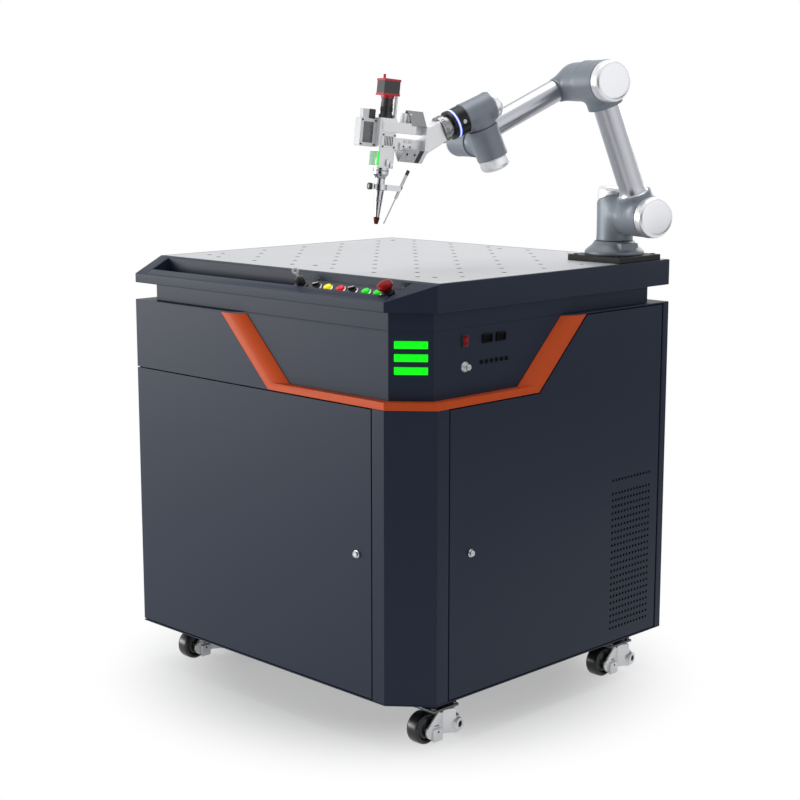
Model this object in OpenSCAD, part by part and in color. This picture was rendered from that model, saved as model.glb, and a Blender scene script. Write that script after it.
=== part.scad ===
// Mobile welding workstation: a cabinet on castors that carries a six-axis arm with a laser head.
// Millimetres, +Z up, floor at z = 0. The front of the cabinet faces -Y and its side door faces +X.

/* [Cabinet] */
// Width of the cabinet, left to right
cab_w = 1000; // [900:10:1200]
// Depth of the cabinet, front to back
cab_d = 925; // [860:5:1100]
// Height of the cabinet body
body_h = 858; // [780:2:960]
// Sheet thickness of the walls and the deck
wall_t = 3; // [2:0.5:5]
// Thickness of the base frame
floor_t = 25; // [16:1:40]
// Chamfer of the front right corner, along the front
cut_x = 90; // [60:1:120]
// Chamfer of the front right corner, along the side
cut_y = 78; // [50:1:110]
// Height of the upper band, above the front door
upper_h = 174; // [150:1:220]
// How far the control fascia lies behind the panels
recess = 22; // [12:1:30]
// Height of the neck under the table
neck_h = 43; // [30:1:70]
// How far the neck stands in at the left and at the back
neck_inset = 60; // [30:1:90]

/* [Doors] */
// Thickness of a door
door_t = 20; // [16:1:24]
// Seam round a door
door_gap = 3; // [2:0.5:5]
// Seam on the hinge side of the side door
hinge_gap = 6; // [4:0.5:9]
// Width of the stiff frame behind a door's sheet
door_frame = 30; // [20:1:50]
// Sheet thickness of a door
door_sheet = 2.5; // [2:0.5:4]
// Width of the fixed strip between the front door and the chamfer
front_strip = 39; // [25:1:60]
// Width of the fixed strip between the chamfer and the side door
side_strip = 38; // [25:1:60]
// Width of the fixed strip behind the side door
rear_strip = 27; // [24:1:45]
// Diameter of a door's hinge pins
hinge_pin_d = 8; // [6:0.5:9]
// Height of the locks above the floor
lock_z = 452; // [300:1:600]
// Distance from the front lock to its door's free edge
lock_edge = 46; // [35:1:90]
// Distance from the side lock to its door's free edge
side_lock_edge = 69; // [35:1:90]
// Diameter of a lock
lock_d = 19; // [14:0.5:26]

/* [Accent trim] */
// Width of the trim's face, measured level
trim_face = 35; // [24:1:50]
// Width of the trim's sloping flank, measured level
trim_flank = 38; // [20:1:60]
// How far a slanted leg runs sideways on its way up
trim_lean = 172; // [120:1:200]
// Height of the level band
trim_band = 18; // [12:1:30]
// Left foot of the trim, from the cabinet's middle
trim_foot_x = 17; // [0:1:60]
// Rear foot of the trim, in front of the cabinet's middle
trim_foot_y = 40; // [0:1:90]

/* [Table] */
// Thickness of the table's frame
slab_h = 64; // [50:1:90]
// Width of the control tray along the front
tray_w = 83; // [70:1:110]
// How far the front rim lies below the table top
tray_drop = 41; // [24:1:48]
// Depth of the tray's floor below its rim
tray_deep = 10; // [5:1:14]
// Thickness of the tray's rim
rim_t = 7; // [4:0.5:12]
// Length of the tray's left end cheek
cheek_l = 42; // [25:1:70]
// Length of the tray's right end at its back, from the cabinet's side
cheek_r = 78; // [60:1:90]
// Thickness of the work plate
plate_t = 10; // [6:1:14]
// Border of the frame round the work plate
plate_edge = 8; // [5:1:20]
// Distance between rows of fixture holes
hole_pitch = 71.5; // [60:0.5:74]
// Diameter of a fixture hole
hole_d = 8; // [5:0.5:16]
// Number of columns of fixture holes
hole_cols = 13; // [9:2:13]
// Number of rows of fixture holes
hole_rows = 11; // [7:2:11]
// How far the hole pattern's middle lies behind the work plate's middle
hole_shift = 13; // [10:0.5:24]

/* [Castors] */
// Height of a castor
caster_h = 111; // [105:1:140]
// Diameter of a wheel
wheel_d = 76; // [60:1:80]
// Width of a wheel
wheel_w = 36; // [24:1:42]
// Diameter of an axle
axle_d = 10; // [8:0.5:14]
// How far a wheel trails behind its swivel
trail = 36; // [30:1:42]
// Distance from the middle to a swivel, left and right
caster_x = 430; // [380:1:445]
// Distance from the castors' middle to a swivel, front and back
caster_y = 330; // [300:1:380]
// Middle of the castors, behind the cabinet's middle
caster_mid = 8; // [0:1:12]

/* [Arm] */
// Distance from the arm's base to the cabinet's right side
arm_from_right = 86; // [83:1:120]
// Distance from the arm's base to the cabinet's back
arm_from_back = 117.5; // [95:0.5:160]
// Direction that the arm reaches in, from +X
arm_turn = 251; // [200:1:300]
// Height of the shoulder axis above the riser plate
shoulder_z = 101; // [90:1:130]
// Length of the upper arm
upper_l = 348; // [300:1:420]
// Lean of the upper arm from upright
upper_lean = 22; // [0:1:40]
// Length of the forearm
fore_l = 320; // [280:1:420]
// Lean of the forearm from upright
fore_lean = 116; // [95:1:125]
// Lean of the fifth axis from upright
wrist_lean = 23; // [0:1:30]
// Offset of the upper arm from the column's axis
upper_off = 112; // [108:0.5:113]
// Offset of the forearm from the column's axis
fore_off = -12; // [-20:1:0]
// Offset of the tool from the column's axis
tool_off = 92; // [86:1:110]
// Distance from the fourth axis to the sixth
wrist_rise = 74; // [74:1:100]
// Distance from the fifth axis to the flange's face
flange_reach = 105; // [95:1:130]
// Radius of the shoulder and elbow housings
big_r = 51; // [48:0.5:54]
// Radius of the wrist housings
small_r = 37; // [34:0.5:38]
// Radius of the upper arm's tube
upper_tube_r = 31; // [26:0.5:34]
// Radius of the forearm's tube
fore_tube_r = 27.5; // [24:0.5:29]
// Radius of the column
column_r = 46; // [42:0.5:48]
// Radius of the base's flange
base_r = 74; // [68:1:78]
// Thickness of the riser plate
riser_t = 15; // [10:1:30]
// Side of the riser plate
riser_w = 165; // [156:1:170]

/* [Laser head] */
// Lean of the laser head from upright
head_lean = 6; // [0:0.5:12]
// Distance from the flange to the head's axis
head_reach = 138; // [130:1:160]
// Drop from the flange to the nozzle's tip
head_drop = 224; // [215:1:260]
// Length of the nozzle
nozzle_l = 127; // [110:1:130]
// Width of the head's body, along the arm's reach
head_w = 40; // [36:1:42]
// Depth of the head's body, along the arm's parallel axes
head_d = 44; // [40:1:50]
// Height of the head's body
head_h = 111; // [106:1:124]
// Length of the camera's lens
lens_l = 50; // [40:1:60]
// Diameter of the camera's lens
lens_d = 26; // [20:1:28]
// Side of the camera
camera_w = 39; // [36:1:46]
// Height of the camera
camera_h = 37; // [30:1:46]

/* [Hidden] */
$fn = 64;

// Overrun of every cut, running clearance of a pin, and gap between faces that turn on each other
over = 1;
run_gap = 0.05;
turn_gap = 0.3;

// Colours
slate = [0.19, 0.20, 0.24];
orange = [0.88, 0.33, 0.14];
blue_grey = [0.52, 0.55, 0.59];
silver = [0.78, 0.79, 0.80];
white = [0.90, 0.90, 0.91];
black = [0.06, 0.06, 0.07];

// Levels of the cabinet
z_body = caster_h;
z_floor_top = z_body + floor_t;
z_body_top = z_body + body_h;
z_seam = z_body_top - upper_h;
z_neck_top = z_body_top + neck_h;
z_table = z_neck_top + slab_h;
z_arm = z_table + riser_t;

// The base frame has a lip under the doors, and the walls leave room for a door's heel to swing past
lip_t = wall_t;
z_lip = z_body + lip_t;
z_door = z_lip + door_gap;
heel = door_t + 3 * door_gap;

// Planes of the cabinet
x_left = -cab_w / 2;
x_right = cab_w / 2;
y_front = -cab_d / 2;
y_back = cab_d / 2;
x_cut = x_right - cut_x;
y_cut = y_front + cut_y;
x_strip = x_cut - front_strip;
y_strip = y_cut + side_strip;
y_rear_strip = y_back - rear_strip;
arm_x = x_right - arm_from_right;
arm_y = y_back - arm_from_back;
trim_top_x = trim_foot_x - trim_lean;
trim_top_y = trim_lean - trim_foot_y;

// The chamfer seen from above: its length, and how far its ends shift when it is set in
cut_l = norm([cut_x, cut_y]);
cut_shift_x = (cut_l - cut_x) / cut_y;
cut_shift_y = (cut_l - cut_y) / cut_x;

// The front right corner of the cabinet, set in by d, from the front to the side
function corner(d) = [
    [x_cut - d * cut_shift_x, y_front + d],
    [x_right - d, y_cut + d * cut_shift_y]
];

// Outline of the cabinet seen from above
cabinet_outline = concat([[x_left, y_front]], corner(0), [[x_right, y_back], [x_left, y_back]]);

// Outline of the deck, cut back where the fascia is recessed
deck_outline = concat(
    [[x_left, y_front], [trim_top_x + trim_face, y_front],
     [trim_top_x + trim_face + trim_flank, y_front + recess]],
    corner(recess),
    [[x_right - recess, trim_top_y - trim_face - trim_flank],
     [x_right, trim_top_y - trim_face], [x_right, y_back], [x_left, y_back]]);

// A strip of sheet that follows the front, the chamfer and the side, from depth d0 to depth d1
function wrap_strip(x0, y1, d0, d1) = concat(
    [[x0, y_front + d0]], corner(d0), [[x_right - d0, y1], [x_right - d1, y1]],
    [corner(d1)[1], corner(d1)[0]], [[x0, y_front + d1]]);

// Stands a front-view outline of x and z on the plane y, with a depth towards the back
module on_front(y, depth) {
    translate([0, y + depth, 0])
        rotate([90, 0, 0])
            linear_extrude(depth)
                children();
}

// Stands a side-view outline of y and z on the plane x, with a depth towards the left
module on_side(x, depth) {
    translate([x - depth, 0, 0])
        rotate([90, 0, 90])
            linear_extrude(depth)
                children();
}

// A box between two corners
module span(low, high) {
    translate(low)
        cube(high - low);
}

// CABINET BODY

frame_w = 140;
module cabinet_floor() {
    frame_outline = concat(
        [[x_left + wall_t, y_front + heel]], corner(heel),
        [[x_right - heel, y_back - wall_t], [x_left + wall_t, y_back - wall_t]]);
    color(slate)
        union() {
            translate([0, 0, z_body])
                linear_extrude(floor_t)
                    difference() {
                        polygon(frame_outline);
                        translate([x_left + frame_w, y_front + frame_w])
                            square([cab_w - 2 * frame_w, cab_d - 2 * frame_w]);
                    }
            translate([0, 0, z_body])
                linear_extrude(lip_t)
                    polygon(cabinet_outline);
            standing_pin(front_hinge);
            standing_pin(side_hinge);
        }
}

module corner_post() {
    color(slate)
        translate([0, 0, z_lip])
            linear_extrude(z_seam - z_lip)
                polygon(wrap_strip(x_strip, y_strip, 0, heel));
}

module left_side_wall() {
    color(slate)
        span([x_left, y_front + heel, z_lip], [x_left + wall_t, y_back, z_body_top - wall_t]);
}

module rear_wall() {
    color(slate)
        span([x_left + wall_t, y_back - wall_t, z_lip], [x_right, y_back, z_body_top - wall_t]);
}

module side_rear_post() {
    color(slate)
        span([x_right - heel, y_rear_strip + hinge_gap, z_lip],
             [x_right, y_back - wall_t, z_body_top - wall_t]);
}

module cabinet_deck() {
    color(slate)
        union() {
            translate([0, 0, z_body_top - wall_t])
                linear_extrude(wall_t)
                    polygon(deck_outline);
            hanging_pin(side_hinge, z_side_door_top, z_body_top - wall_t / 2);
        }
}

module front_upper_panel() {
    color(slate)
        union() {
            on_front(y_front, heel)
                polygon([[x_left, z_seam], [trim_foot_x, z_seam],
                         [trim_top_x, z_body_top - wall_t], [x_left, z_body_top - wall_t]]);
            hanging_pin(front_hinge, z_seam - door_gap, z_seam + door_gap);
        }
}

// One slanted leg of the trim in front view, as its face and as its foot at the back of the flank
module trim_leg(depth, foot, top, side) {
    far = side * trim_face;
    root = side * (trim_face + trim_flank);
    hull() {
        linear_extrude(wall_t)
            polygon([[foot, z_seam], [top, z_body_top - wall_t],
                     [top + far, z_body_top - wall_t], [foot + far, z_seam]]);
        translate([0, 0, wall_t - depth])
            linear_extrude(depth - wall_t)
                polygon([[foot, z_seam], [top, z_body_top - wall_t],
                         [top + far, z_body_top - wall_t], [foot + far, z_seam]]);
        translate([0, 0, wall_t - depth])
            linear_extrude(wall_t / 2)
                polygon([[foot + far, z_seam], [top + far, z_body_top - wall_t],
                         [top + root, z_body_top - wall_t], [foot + root, z_seam]]);
    }
}

module accent_trim() {
    color(orange)
        union() {
            translate([0, y_front + wall_t, 0])
                rotate([90, 0, 0])
                    trim_leg(recess, trim_foot_x, trim_top_x, 1);
            translate([x_right - wall_t, 0, 0])
                rotate([90, 0, 90])
                    trim_leg(recess, -trim_foot_y, trim_top_y, -1);
            translate([0, 0, z_seam])
                linear_extrude(trim_band)
                    polygon(wrap_strip(trim_foot_x, -trim_foot_y, 0, recess));
        }
}

// The fascia's ends are cut along the legs of the trim
module control_fascia() {
    top = z_body_top - wall_t;
    color(slate)
        difference() {
            translate([0, 0, z_seam])
                linear_extrude(top - z_seam)
                    polygon(wrap_strip(trim_top_x, trim_top_y, recess, recess + wall_t));
            on_front(y_front, heel)
                polygon([[trim_top_x - trim_face, z_seam - trim_face], [trim_foot_x + trim_face, z_seam],
                         [trim_top_x + trim_face, top], [trim_top_x - trim_face, top + trim_face]]);
            on_side(x_right, heel)
                polygon([[trim_top_y + trim_face, z_seam - trim_face], [-trim_foot_y - trim_face, z_seam],
                         [trim_top_y - trim_face, top], [trim_top_y + trim_face, top + trim_face]]);
        }
}

// NECK AND TABLE

neck_wall = 36;
module neck_outline(d) {
    polygon(concat(
        [[x_left + neck_inset + d, y_front + recess + d]], corner(recess + d),
        [[x_right - recess - d, y_back - neck_inset - d],
         [x_left + neck_inset + d, y_back - neck_inset - d]]));
}

module neck() {
    color(slate)
        translate([0, 0, z_body_top])
            linear_extrude(neck_h)
                difference() {
                    neck_outline(0);
                    neck_outline(neck_wall);
                }
}

y_table = y_front + tray_w;
z_rim = z_table - tray_drop;
z_tray = z_rim - tray_deep;
ledge = 90;

module top_frame() {
    color(slate)
        difference() {
            intersection() {
                translate([0, 0, z_neck_top])
                    linear_extrude(slab_h)
                        polygon(cabinet_outline);
                on_side(x_right, cab_w)
                    polygon([[y_front, z_neck_top], [y_back, z_neck_top], [y_back, z_table],
                             [y_table, z_table], [y_front, z_rim]]);
            }
            // Trough of the control tray
            translate([0, 0, z_tray])
                linear_extrude(slab_h)
                    polygon([[x_left + cheek_l, y_front + rim_t], [x_cut - rim_t, y_front + rim_t],
                             [x_right - cheek_r, y_table - rim_t], [x_left + cheek_l, y_table - rim_t]]);
            // Seat of the work plate
            span([x_left + plate_edge, y_table + plate_edge, z_table - plate_t],
                 [x_right - plate_edge, y_back - plate_edge, z_table + over]);
            // Open middle, so that the plate lies on a ledge
            span([x_left + ledge, y_table + ledge, z_neck_top - over],
                 [x_right - ledge, y_back - ledge, z_table]);
        }
}

hole_mid_y = (y_table + y_back) / 2 + hole_shift;

// Fixture holes stand on every second place of the grid, and none under the riser plate
function hole_place(i, j) = [
    (i - (hole_cols - 1) / 2) * hole_pitch,
    hole_mid_y + (j - (hole_rows - 1) / 2) * hole_pitch
];
riser_x = arm_x - riser_w / 2;
riser_y = arm_y - riser_w / 2;
function under_riser(p) = p[0] > riser_x - hole_d && p[1] > riser_y - hole_d
    && p[1] < riser_y + riser_w + hole_d;

module table_plate() {
    color(silver)
        translate([0, 0, z_table - plate_t])
            linear_extrude(plate_t)
                difference() {
                    translate([x_left + plate_edge, y_table + plate_edge])
                        square([cab_w - 2 * plate_edge, cab_d - tray_w - 2 * plate_edge]);
                    for (i = [0 : hole_cols - 1], j = [0 : hole_rows - 1])
                        if ((i + j) % 2 == 1 && !under_riser(hole_place(i, j)))
                            translate(hole_place(i, j))
                                circle(d = hole_d, $fn = 24);
                }
}

module robot_riser_plate() {
    color(black)
        span([riser_x, riser_y, z_table], [riser_x + riser_w, riser_y + riser_w, z_table + riser_t]);
}

// CONTROLS ON THE FASCIA

bar_w = 75;
bar_h = 17;
bar_pitch = 29;
bar_drop = 59;
bar_t = 3;
cut_angle = atan2(cut_y, cut_x);

// Puts children on the chamfer of the fascia, with local X along it, local Y up and local Z outwards
module on_chamfer(z) {
    middle = (corner(recess)[0] + corner(recess)[1]) / 2;
    translate([middle[0], middle[1], z])
        rotate([90, 0, cut_angle])
            children();
}

module flat_bar(w, h, t) {
    translate([-w / 2, -h / 2, 0])
        cube([w, h, t]);
}

module status_light_bars() {
    color([0.1, 1, 0.1])
        for (k = [-1 : 1])
            on_chamfer(z_body_top - bar_drop + k * bar_pitch)
                flat_bar(bar_w, bar_h, bar_t);
}

// Puts children on the side of the fascia, behind the chamfer by a distance and below the deck by a drop,
// with local X towards the back, local Y up and local Z outwards
module on_side_fascia(behind, drop) {
    translate([x_right - recess, y_cut + behind, z_body_top - drop])
        rotate([90, 0, 90])
            children();
}

rocker_in = 110;
rocker_drop = 30;
rocker_w = 21;
rocker_h = 29;
rocker_t = 6;
knob_in = 109;
knob_drop = 89;
knob_d = 24;
knob_t = 4;
knob_stem_d = 14;
knob_l = 20;
socket_ins = [184, 230];
socket_drop = 31;
socket_w = 32;
socket_h = 20;
socket_t = 4;
jack_count = 6;
jack_in = 165;
jack_pitch = 17.2;
jack_drop = 84;
jack_d = 9;
jack_t = 3;

module power_rocker() {
    color([0.7, 0.05, 0.06])
        on_side_fascia(rocker_in, rocker_drop)
            flat_bar(rocker_w, rocker_h, rocker_t);
}

module key_knob() {
    color(silver)
        on_side_fascia(knob_in, knob_drop)
            union() {
                cylinder(d = knob_d, h = knob_t);
                cylinder(d = knob_stem_d, h = knob_l);
            }
}

module fascia_sockets() {
    color(black)
        union() {
            for (behind = socket_ins)
                on_side_fascia(behind, socket_drop)
                    flat_bar(socket_w, socket_h, socket_t);
            for (k = [0 : jack_count - 1])
                on_side_fascia(jack_in + k * jack_pitch, jack_drop)
                    cylinder(d = jack_d, h = jack_t, $fn = 32);
        }
}

// CONTROLS IN THE TRAY

tray_y = (y_front + rim_t + y_table - rim_t) / 2;
button_d = 21;
button_h = 25;
button_base_d = 28;
button_base_h = 17;
button_ins = [321, 278, 195, 157];
switch_ins = [359, 238];
switch_h = 30;
keyed_in = 411;
keyed_h = 36;
key_d = 17;
key_t = 3;
key_rise = 48;
key_hole_d = 7;
stop_in = 122;
stop_d = 38;
stop_rim_d = 31;
stop_base_d = 30;
stop_neck_d = 24;
stop_base_h = 26;
stop_h = 46;

module push_button(from_right, cap_h) {
    translate([x_right - from_right, tray_y, z_tray])
        union() {
            cylinder(d = button_base_d, h = button_base_h);
            cylinder(d = button_d, h = cap_h);
        }
}

module tray_push_buttons() {
    color([0.3, 0.8, 0.3])
        for (from_right = button_ins)
            push_button(from_right, button_h);
}

// Two selectors and a keyed switch with its key in it
module tray_switches() {
    color(black)
        union() {
            for (from_right = switch_ins)
                push_button(from_right, switch_h);
            push_button(keyed_in, keyed_h);
            translate([x_right - keyed_in, tray_y, z_tray])
                rotate([90, 0, 45])
                    difference() {
                        union() {
                            translate([-key_t, 0, -key_t / 2])
                                cube([2 * key_t, key_rise, key_t]);
                            translate([0, key_rise, -key_t / 2])
                                cylinder(d = key_d, h = key_t);
                        }
                        translate([0, key_rise, -key_t])
                            cylinder(d = key_hole_d, h = 2 * key_t);
                    }
        }
}

module emergency_stop() {
    color([0.7, 0.06, 0.06])
        translate([x_right - stop_in, tray_y, z_tray])
            union() {
                cylinder(d = stop_base_d, h = stop_base_h);
                translate([0, 0, stop_base_h])
                    cylinder(d1 = stop_neck_d, d2 = stop_d, h = (stop_h - stop_base_h) / 2);
                translate([0, 0, (stop_h + stop_base_h) / 2])
                    cylinder(d1 = stop_d, d2 = stop_rim_d, h = (stop_h - stop_base_h) / 2);
            }
}

// DOORS

pin_in = 7;
pin_l = 12;
front_hinge = [x_left + pin_in, y_front + pin_in];
side_hinge = [x_right - pin_in, y_rear_strip - pin_in];
z_front_door_top = z_seam - door_gap;
z_side_door_top = z_body_top - wall_t - door_gap;

// A pin that stands on the base frame's lip under a door
module standing_pin(place) {
    translate([place[0], place[1], z_body])
        cylinder(d = hinge_pin_d, h = z_door - z_body + pin_l);
}

// A pin that hangs from the cabinet into the top of a door
module hanging_pin(place, z_top, z_root) {
    translate([place[0], place[1], z_top - pin_l])
        cylinder(d = hinge_pin_d, h = z_root - z_top + pin_l);
}

// The bores of a door for its two pins
module hinge_bores(place, z_top) {
    depth = pin_l + door_gap;
    for (z = [z_door - over, z_top - depth])
        translate([place[0], place[1], z])
            cylinder(d = hinge_pin_d + 2 * run_gap, h = depth + over);
}

module front_door() {
    color(slate)
        difference() {
            span([x_left, y_front, z_door], [x_strip - door_gap, y_front + door_t, z_front_door_top]);
            span([x_left + door_frame, y_front + door_sheet, z_door + door_frame],
                 [x_strip - door_gap - door_frame, y_front + door_t + over, z_front_door_top - door_frame]);
            hinge_bores(front_hinge, z_front_door_top);
        }
}

module side_door() {
    color(slate)
        difference() {
            on_side(x_right, door_t)
                polygon([[y_strip + door_gap, z_door], [y_rear_strip, z_door],
                         [y_rear_strip, z_side_door_top], [trim_top_y + door_gap, z_side_door_top],
                         [door_gap - trim_foot_y, z_front_door_top], [y_strip + door_gap, z_front_door_top]]);
            span([x_right - door_t - over, y_strip + door_gap + door_frame, z_door + door_frame],
                 [x_right - door_sheet, y_rear_strip - door_frame, z_front_door_top - door_frame]);
            span([x_right - door_t - over, trim_top_y + door_gap + door_frame, z_front_door_top],
                 [x_right - door_sheet, y_rear_strip - door_frame, z_side_door_top - door_frame]);
            hinge_bores(side_hinge, z_side_door_top);
        }
}

lock_l = 8;
lock_rim = 2.5;
module door_lock() {
    union() {
        cylinder(d = lock_d, h = lock_l / 2);
        cylinder(d = lock_d - 2 * lock_rim, h = lock_l);
    }
}

module front_door_lock() {
    color(silver)
        translate([x_strip - door_gap - lock_edge, y_front, lock_z])
            rotate([90, 0, 0])
                door_lock();
}

module side_door_lock() {
    color(silver)
        translate([x_right, y_strip + door_gap + side_lock_edge, lock_z])
            rotate([90, 0, 90])
                door_lock();
}

// CASTORS

swivel_d = 60;
plate_w = 84;
caster_plate_t = 6;
swivel_t = 6;
fork_top_t = 8;
cheek_t = 6;
cheek_gap = 2;
hub_r = 16;
house_y = 14;
house_l = 38;
house_low = 36;
foot_d = 30;
foot_l = 15;
foot_hex_d = 14;
foot_hex_l = 8;
foot_z = 66;
z_swivel = caster_h - caster_plate_t - swivel_t;
z_fork = z_swivel - turn_gap;
fork_w = wheel_w + 2 * (cheek_t + cheek_gap);

function swivel_place(i, j) = [i * caster_x, caster_mid + j * caster_y];

module caster_plates() {
    color(silver)
        for (i = [-1, 1], j = [-1, 1])
            translate(concat(swivel_place(i, j), z_swivel))
                union() {
                    cylinder(d = swivel_d, h = swivel_t + caster_plate_t / 2);
                    translate([-plate_w / 2, -plate_w / 2, swivel_t])
                        cube([plate_w, plate_w, caster_plate_t]);
                }
}

// The fork holds the wheel between two cheeks in front of a box with the levelling screw
module caster_fork(i, j) {
    color(white)
        translate(concat(swivel_place(i, j), 0))
            difference() {
                union() {
                    for (side = [-1, 1])
                        translate([side * (fork_w - cheek_t) / 2 - cheek_t / 2, 0, 0])
                            rotate([90, 0, 90])
                                linear_extrude(cheek_t)
                                    polygon([[-trail - hub_r, wheel_d / 2],
                                             [-trail - hub_r / 2, wheel_d / 2 - hub_r],
                                             [-trail + hub_r / 2, wheel_d / 2 - hub_r], [house_y, house_low],
                                             [house_y + cheek_t, house_low], [house_y + cheek_t, z_fork],
                                             [-trail / 2, z_fork]]);
                    span([-fork_w / 2, -trail / 2, z_fork - fork_top_t],
                         [fork_w / 2, house_y + cheek_t, z_fork]);
                    span([-fork_w / 2, house_y, house_low], [fork_w / 2, house_y + house_l, z_fork]);
                    translate([-fork_w / 2, -trail, wheel_d / 2])
                        rotate([0, 90, 0])
                            cylinder(d = axle_d, h = fork_w);
                    translate([0, house_y + house_l, foot_z])
                        rotate([-90, 0, 0])
                            cylinder(d = foot_d, h = foot_l);
                }
                translate([0, house_y + house_l + foot_l - foot_hex_l, foot_z])
                    rotate([-90, 0, 0])
                        cylinder(d = foot_hex_d, h = foot_hex_l + over, $fn = 6);
            }
}

wheel_edge = 5;
module caster_wheel(i, j) {
    color(black)
        translate([i * caster_x - wheel_w / 2, caster_mid + j * caster_y - trail, wheel_d / 2])
            rotate([0, 90, 0])
                rotate_extrude()
                    polygon([[axle_d / 2 + run_gap, 0], [wheel_d / 2 - wheel_edge, 0],
                             [wheel_d / 2, wheel_edge], [wheel_d / 2, wheel_w - wheel_edge],
                             [wheel_d / 2 - wheel_edge, wheel_w],
                             [axle_d / 2 + run_gap, wheel_w]]);
}

// ARM
// In the arm's own frame X points along its reach, Y points outwards along its parallel axes, and Z is up.

module in_arm() {
    translate([arm_x, arm_y, z_arm])
        rotate([0, 0, arm_turn])
            children();
}

function leaning(a) = [sin(a), 0, cos(a)];
shoulder = [0, 0, shoulder_z];
elbow = shoulder + upper_l * leaning(upper_lean);
wrist = elbow + fore_l * leaning(fore_lean);
wrist_5 = wrist + [0, tool_off, 0];
wrist_6 = wrist_5 + wrist_rise * leaning(wrist_lean);
flange = wrist_6 + flange_reach * leaning(wrist_lean + 90);

// A round bar along Y between two offsets
module barrel(at, y0, y1, r) {
    translate([at[0], y0, at[2]])
        rotate([-90, 0, 0])
            cylinder(r = r, h = y1 - y0);
}

// A revolved cap with a rounded rim and a shallow dish, standing on its open end
cap_steps = 5;
dish_rim = 2;
dish_deep = 1;
module cap(r, h, rim) {
    rotate_extrude()
        polygon(concat([[0, 0], [r, 0]],
            [for (k = [0 : cap_steps])
                [r - rim + rim * cos(k * 90 / cap_steps), h - rim + rim * sin(k * 90 / cap_steps)]],
            [[r - rim - dish_rim, h], [r - rim - dish_rim - dish_deep, h - dish_deep], [0, h - dish_deep]]));
}

// Puts children at a point with their Z along a lean from upright, in the plane of the reach
module along(at, y, lean) {
    translate([at[0], y, at[2]])
        rotate([0, lean, 0])
            children();
}

base_rim_h = 9;
base_step = 4;
base_h = 34;
boss_w = 46;
boss_reach = 67;
plug_d = 13;
plug_reach = 36;
plug_out = 48;
plug_z = 24;

// The base has a bolted rim, a skirt, a terminal box and a plug in the side of that box
module arm_base() {
    color(blue_grey)
        in_arm()
            union() {
                rotate_extrude()
                    polygon([[0, 0], [base_r, 0], [base_r, base_rim_h],
                             [base_r - base_step, base_rim_h + base_step],
                             [column_r + base_rim_h, base_h - base_rim_h],
                             [column_r + base_step, base_h], [0, base_h]]);
                span([-boss_w / 2, 0, 0], [boss_w / 2, boss_reach, base_h - base_step / 2]);
                translate([-plug_reach, plug_out, plug_z])
                    rotate([0, 90, 0])
                        cylinder(d = plug_d, h = plug_reach);
            }
}

// The column is parted from its cap by a slope that rises towards the shoulder joint
crown_z = 139;
crown_lean = 20;
crown_top = 171;
cap_foot = 100;
cap_step = 1.5;
cap_rim = 12;
joint_root = 15;
joint_off = 68;
joint_r = 42;
big_cap_off = 155.5;
big_cap_end = 184;

module above_crown() {
    translate([0, 0, crown_z])
        rotate([crown_lean, 0, 0])
            translate([-crown_top / 2, -crown_top / 2, 0])
                cube(crown_top);
}

module shoulder_housing() {
    color(blue_grey)
        in_arm()
            union() {
                difference() {
                    translate([0, 0, base_h + turn_gap])
                        cylinder(r = column_r, h = crown_top - base_h);
                    above_crown();
                }
                barrel(shoulder, joint_root, joint_off - turn_gap, joint_r);
            }
}

module shoulder_cap() {
    color(silver)
        in_arm()
            intersection() {
                translate([0, 0, cap_foot])
                    cap(column_r - cap_step, crown_top - cap_foot, cap_rim);
                above_crown();
            }
}

// The upper arm's housings are parted square to its tube, which flares where it stands on the lower one
collar_r = 43;
shoulder_collar_l = 60;
elbow_collar_l = 62;
flare_w = 9;
flare_h = 24;
flare_steps = 5;

module upper_arm_shoulder_housing() {
    color(blue_grey)
        in_arm()
            union() {
                barrel(shoulder, joint_off, big_cap_off, big_r);
                along(shoulder, upper_off, upper_lean)
                    cylinder(r = collar_r, h = shoulder_collar_l);
            }
}

module upper_arm_tube() {
    length = upper_l - shoulder_collar_l - elbow_collar_l;
    color(silver)
        in_arm()
            along(shoulder + shoulder_collar_l * leaning(upper_lean), upper_off, upper_lean)
                rotate_extrude()
                    polygon(concat([[0, 0]],
                        [for (k = [0 : flare_steps])
                            [upper_tube_r + flare_w * (1 - sin(k * 90 / flare_steps)),
                             flare_h * (1 - cos(k * 90 / flare_steps))]],
                        [[upper_tube_r, length], [0, length]]));
}

module upper_arm_elbow_housing() {
    color(blue_grey)
        in_arm()
            union() {
                barrel(elbow, joint_off, big_cap_off, big_r);
                along(elbow, upper_off, upper_lean + 180)
                    cylinder(r = collar_r, h = elbow_collar_l);
            }
}

module upper_arm_caps() {
    color(silver)
        in_arm()
            for (at = [shoulder, elbow])
                translate([at[0], big_cap_off, at[2]])
                    rotate([-90, 0, 0])
                        cap(big_r - wall_t / 2, big_cap_end - big_cap_off, cap_rim);
}

// The forearm's housing turns a rounded corner from the elbow joint and tapers to its tube
fore_collar_l = 48;
knee_off = 14;
knee_rim = 2;
collar_wall = 4;
wrist_collar_l = 60;
module forearm_elbow_housing() {
    root_r = big_r - 2 * wall_t;
    rim_r = fore_tube_r + knee_rim;
    shift = knee_off - fore_off;
    slope_l = norm([shift, fore_collar_l]);
    color(blue_grey)
        in_arm()
            difference() {
                union() {
                    barrel(elbow, knee_off, joint_off - turn_gap, big_r - wall_t);
                    translate([elbow[0], knee_off, elbow[2]])
                        sphere(r = big_r - wall_t);
                    along(elbow, knee_off, fore_lean)
                        rotate([atan2(shift, fore_collar_l), 0, 0])
                            cylinder(r1 = root_r, r2 = 2 * rim_r - root_r, h = 2 * slope_l);
                }
                along(elbow + fore_collar_l * leaning(fore_lean), fore_off, fore_lean)
                    translate([-2 * big_r, -2 * big_r, 0])
                        cube(4 * big_r);
            }
}

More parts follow.
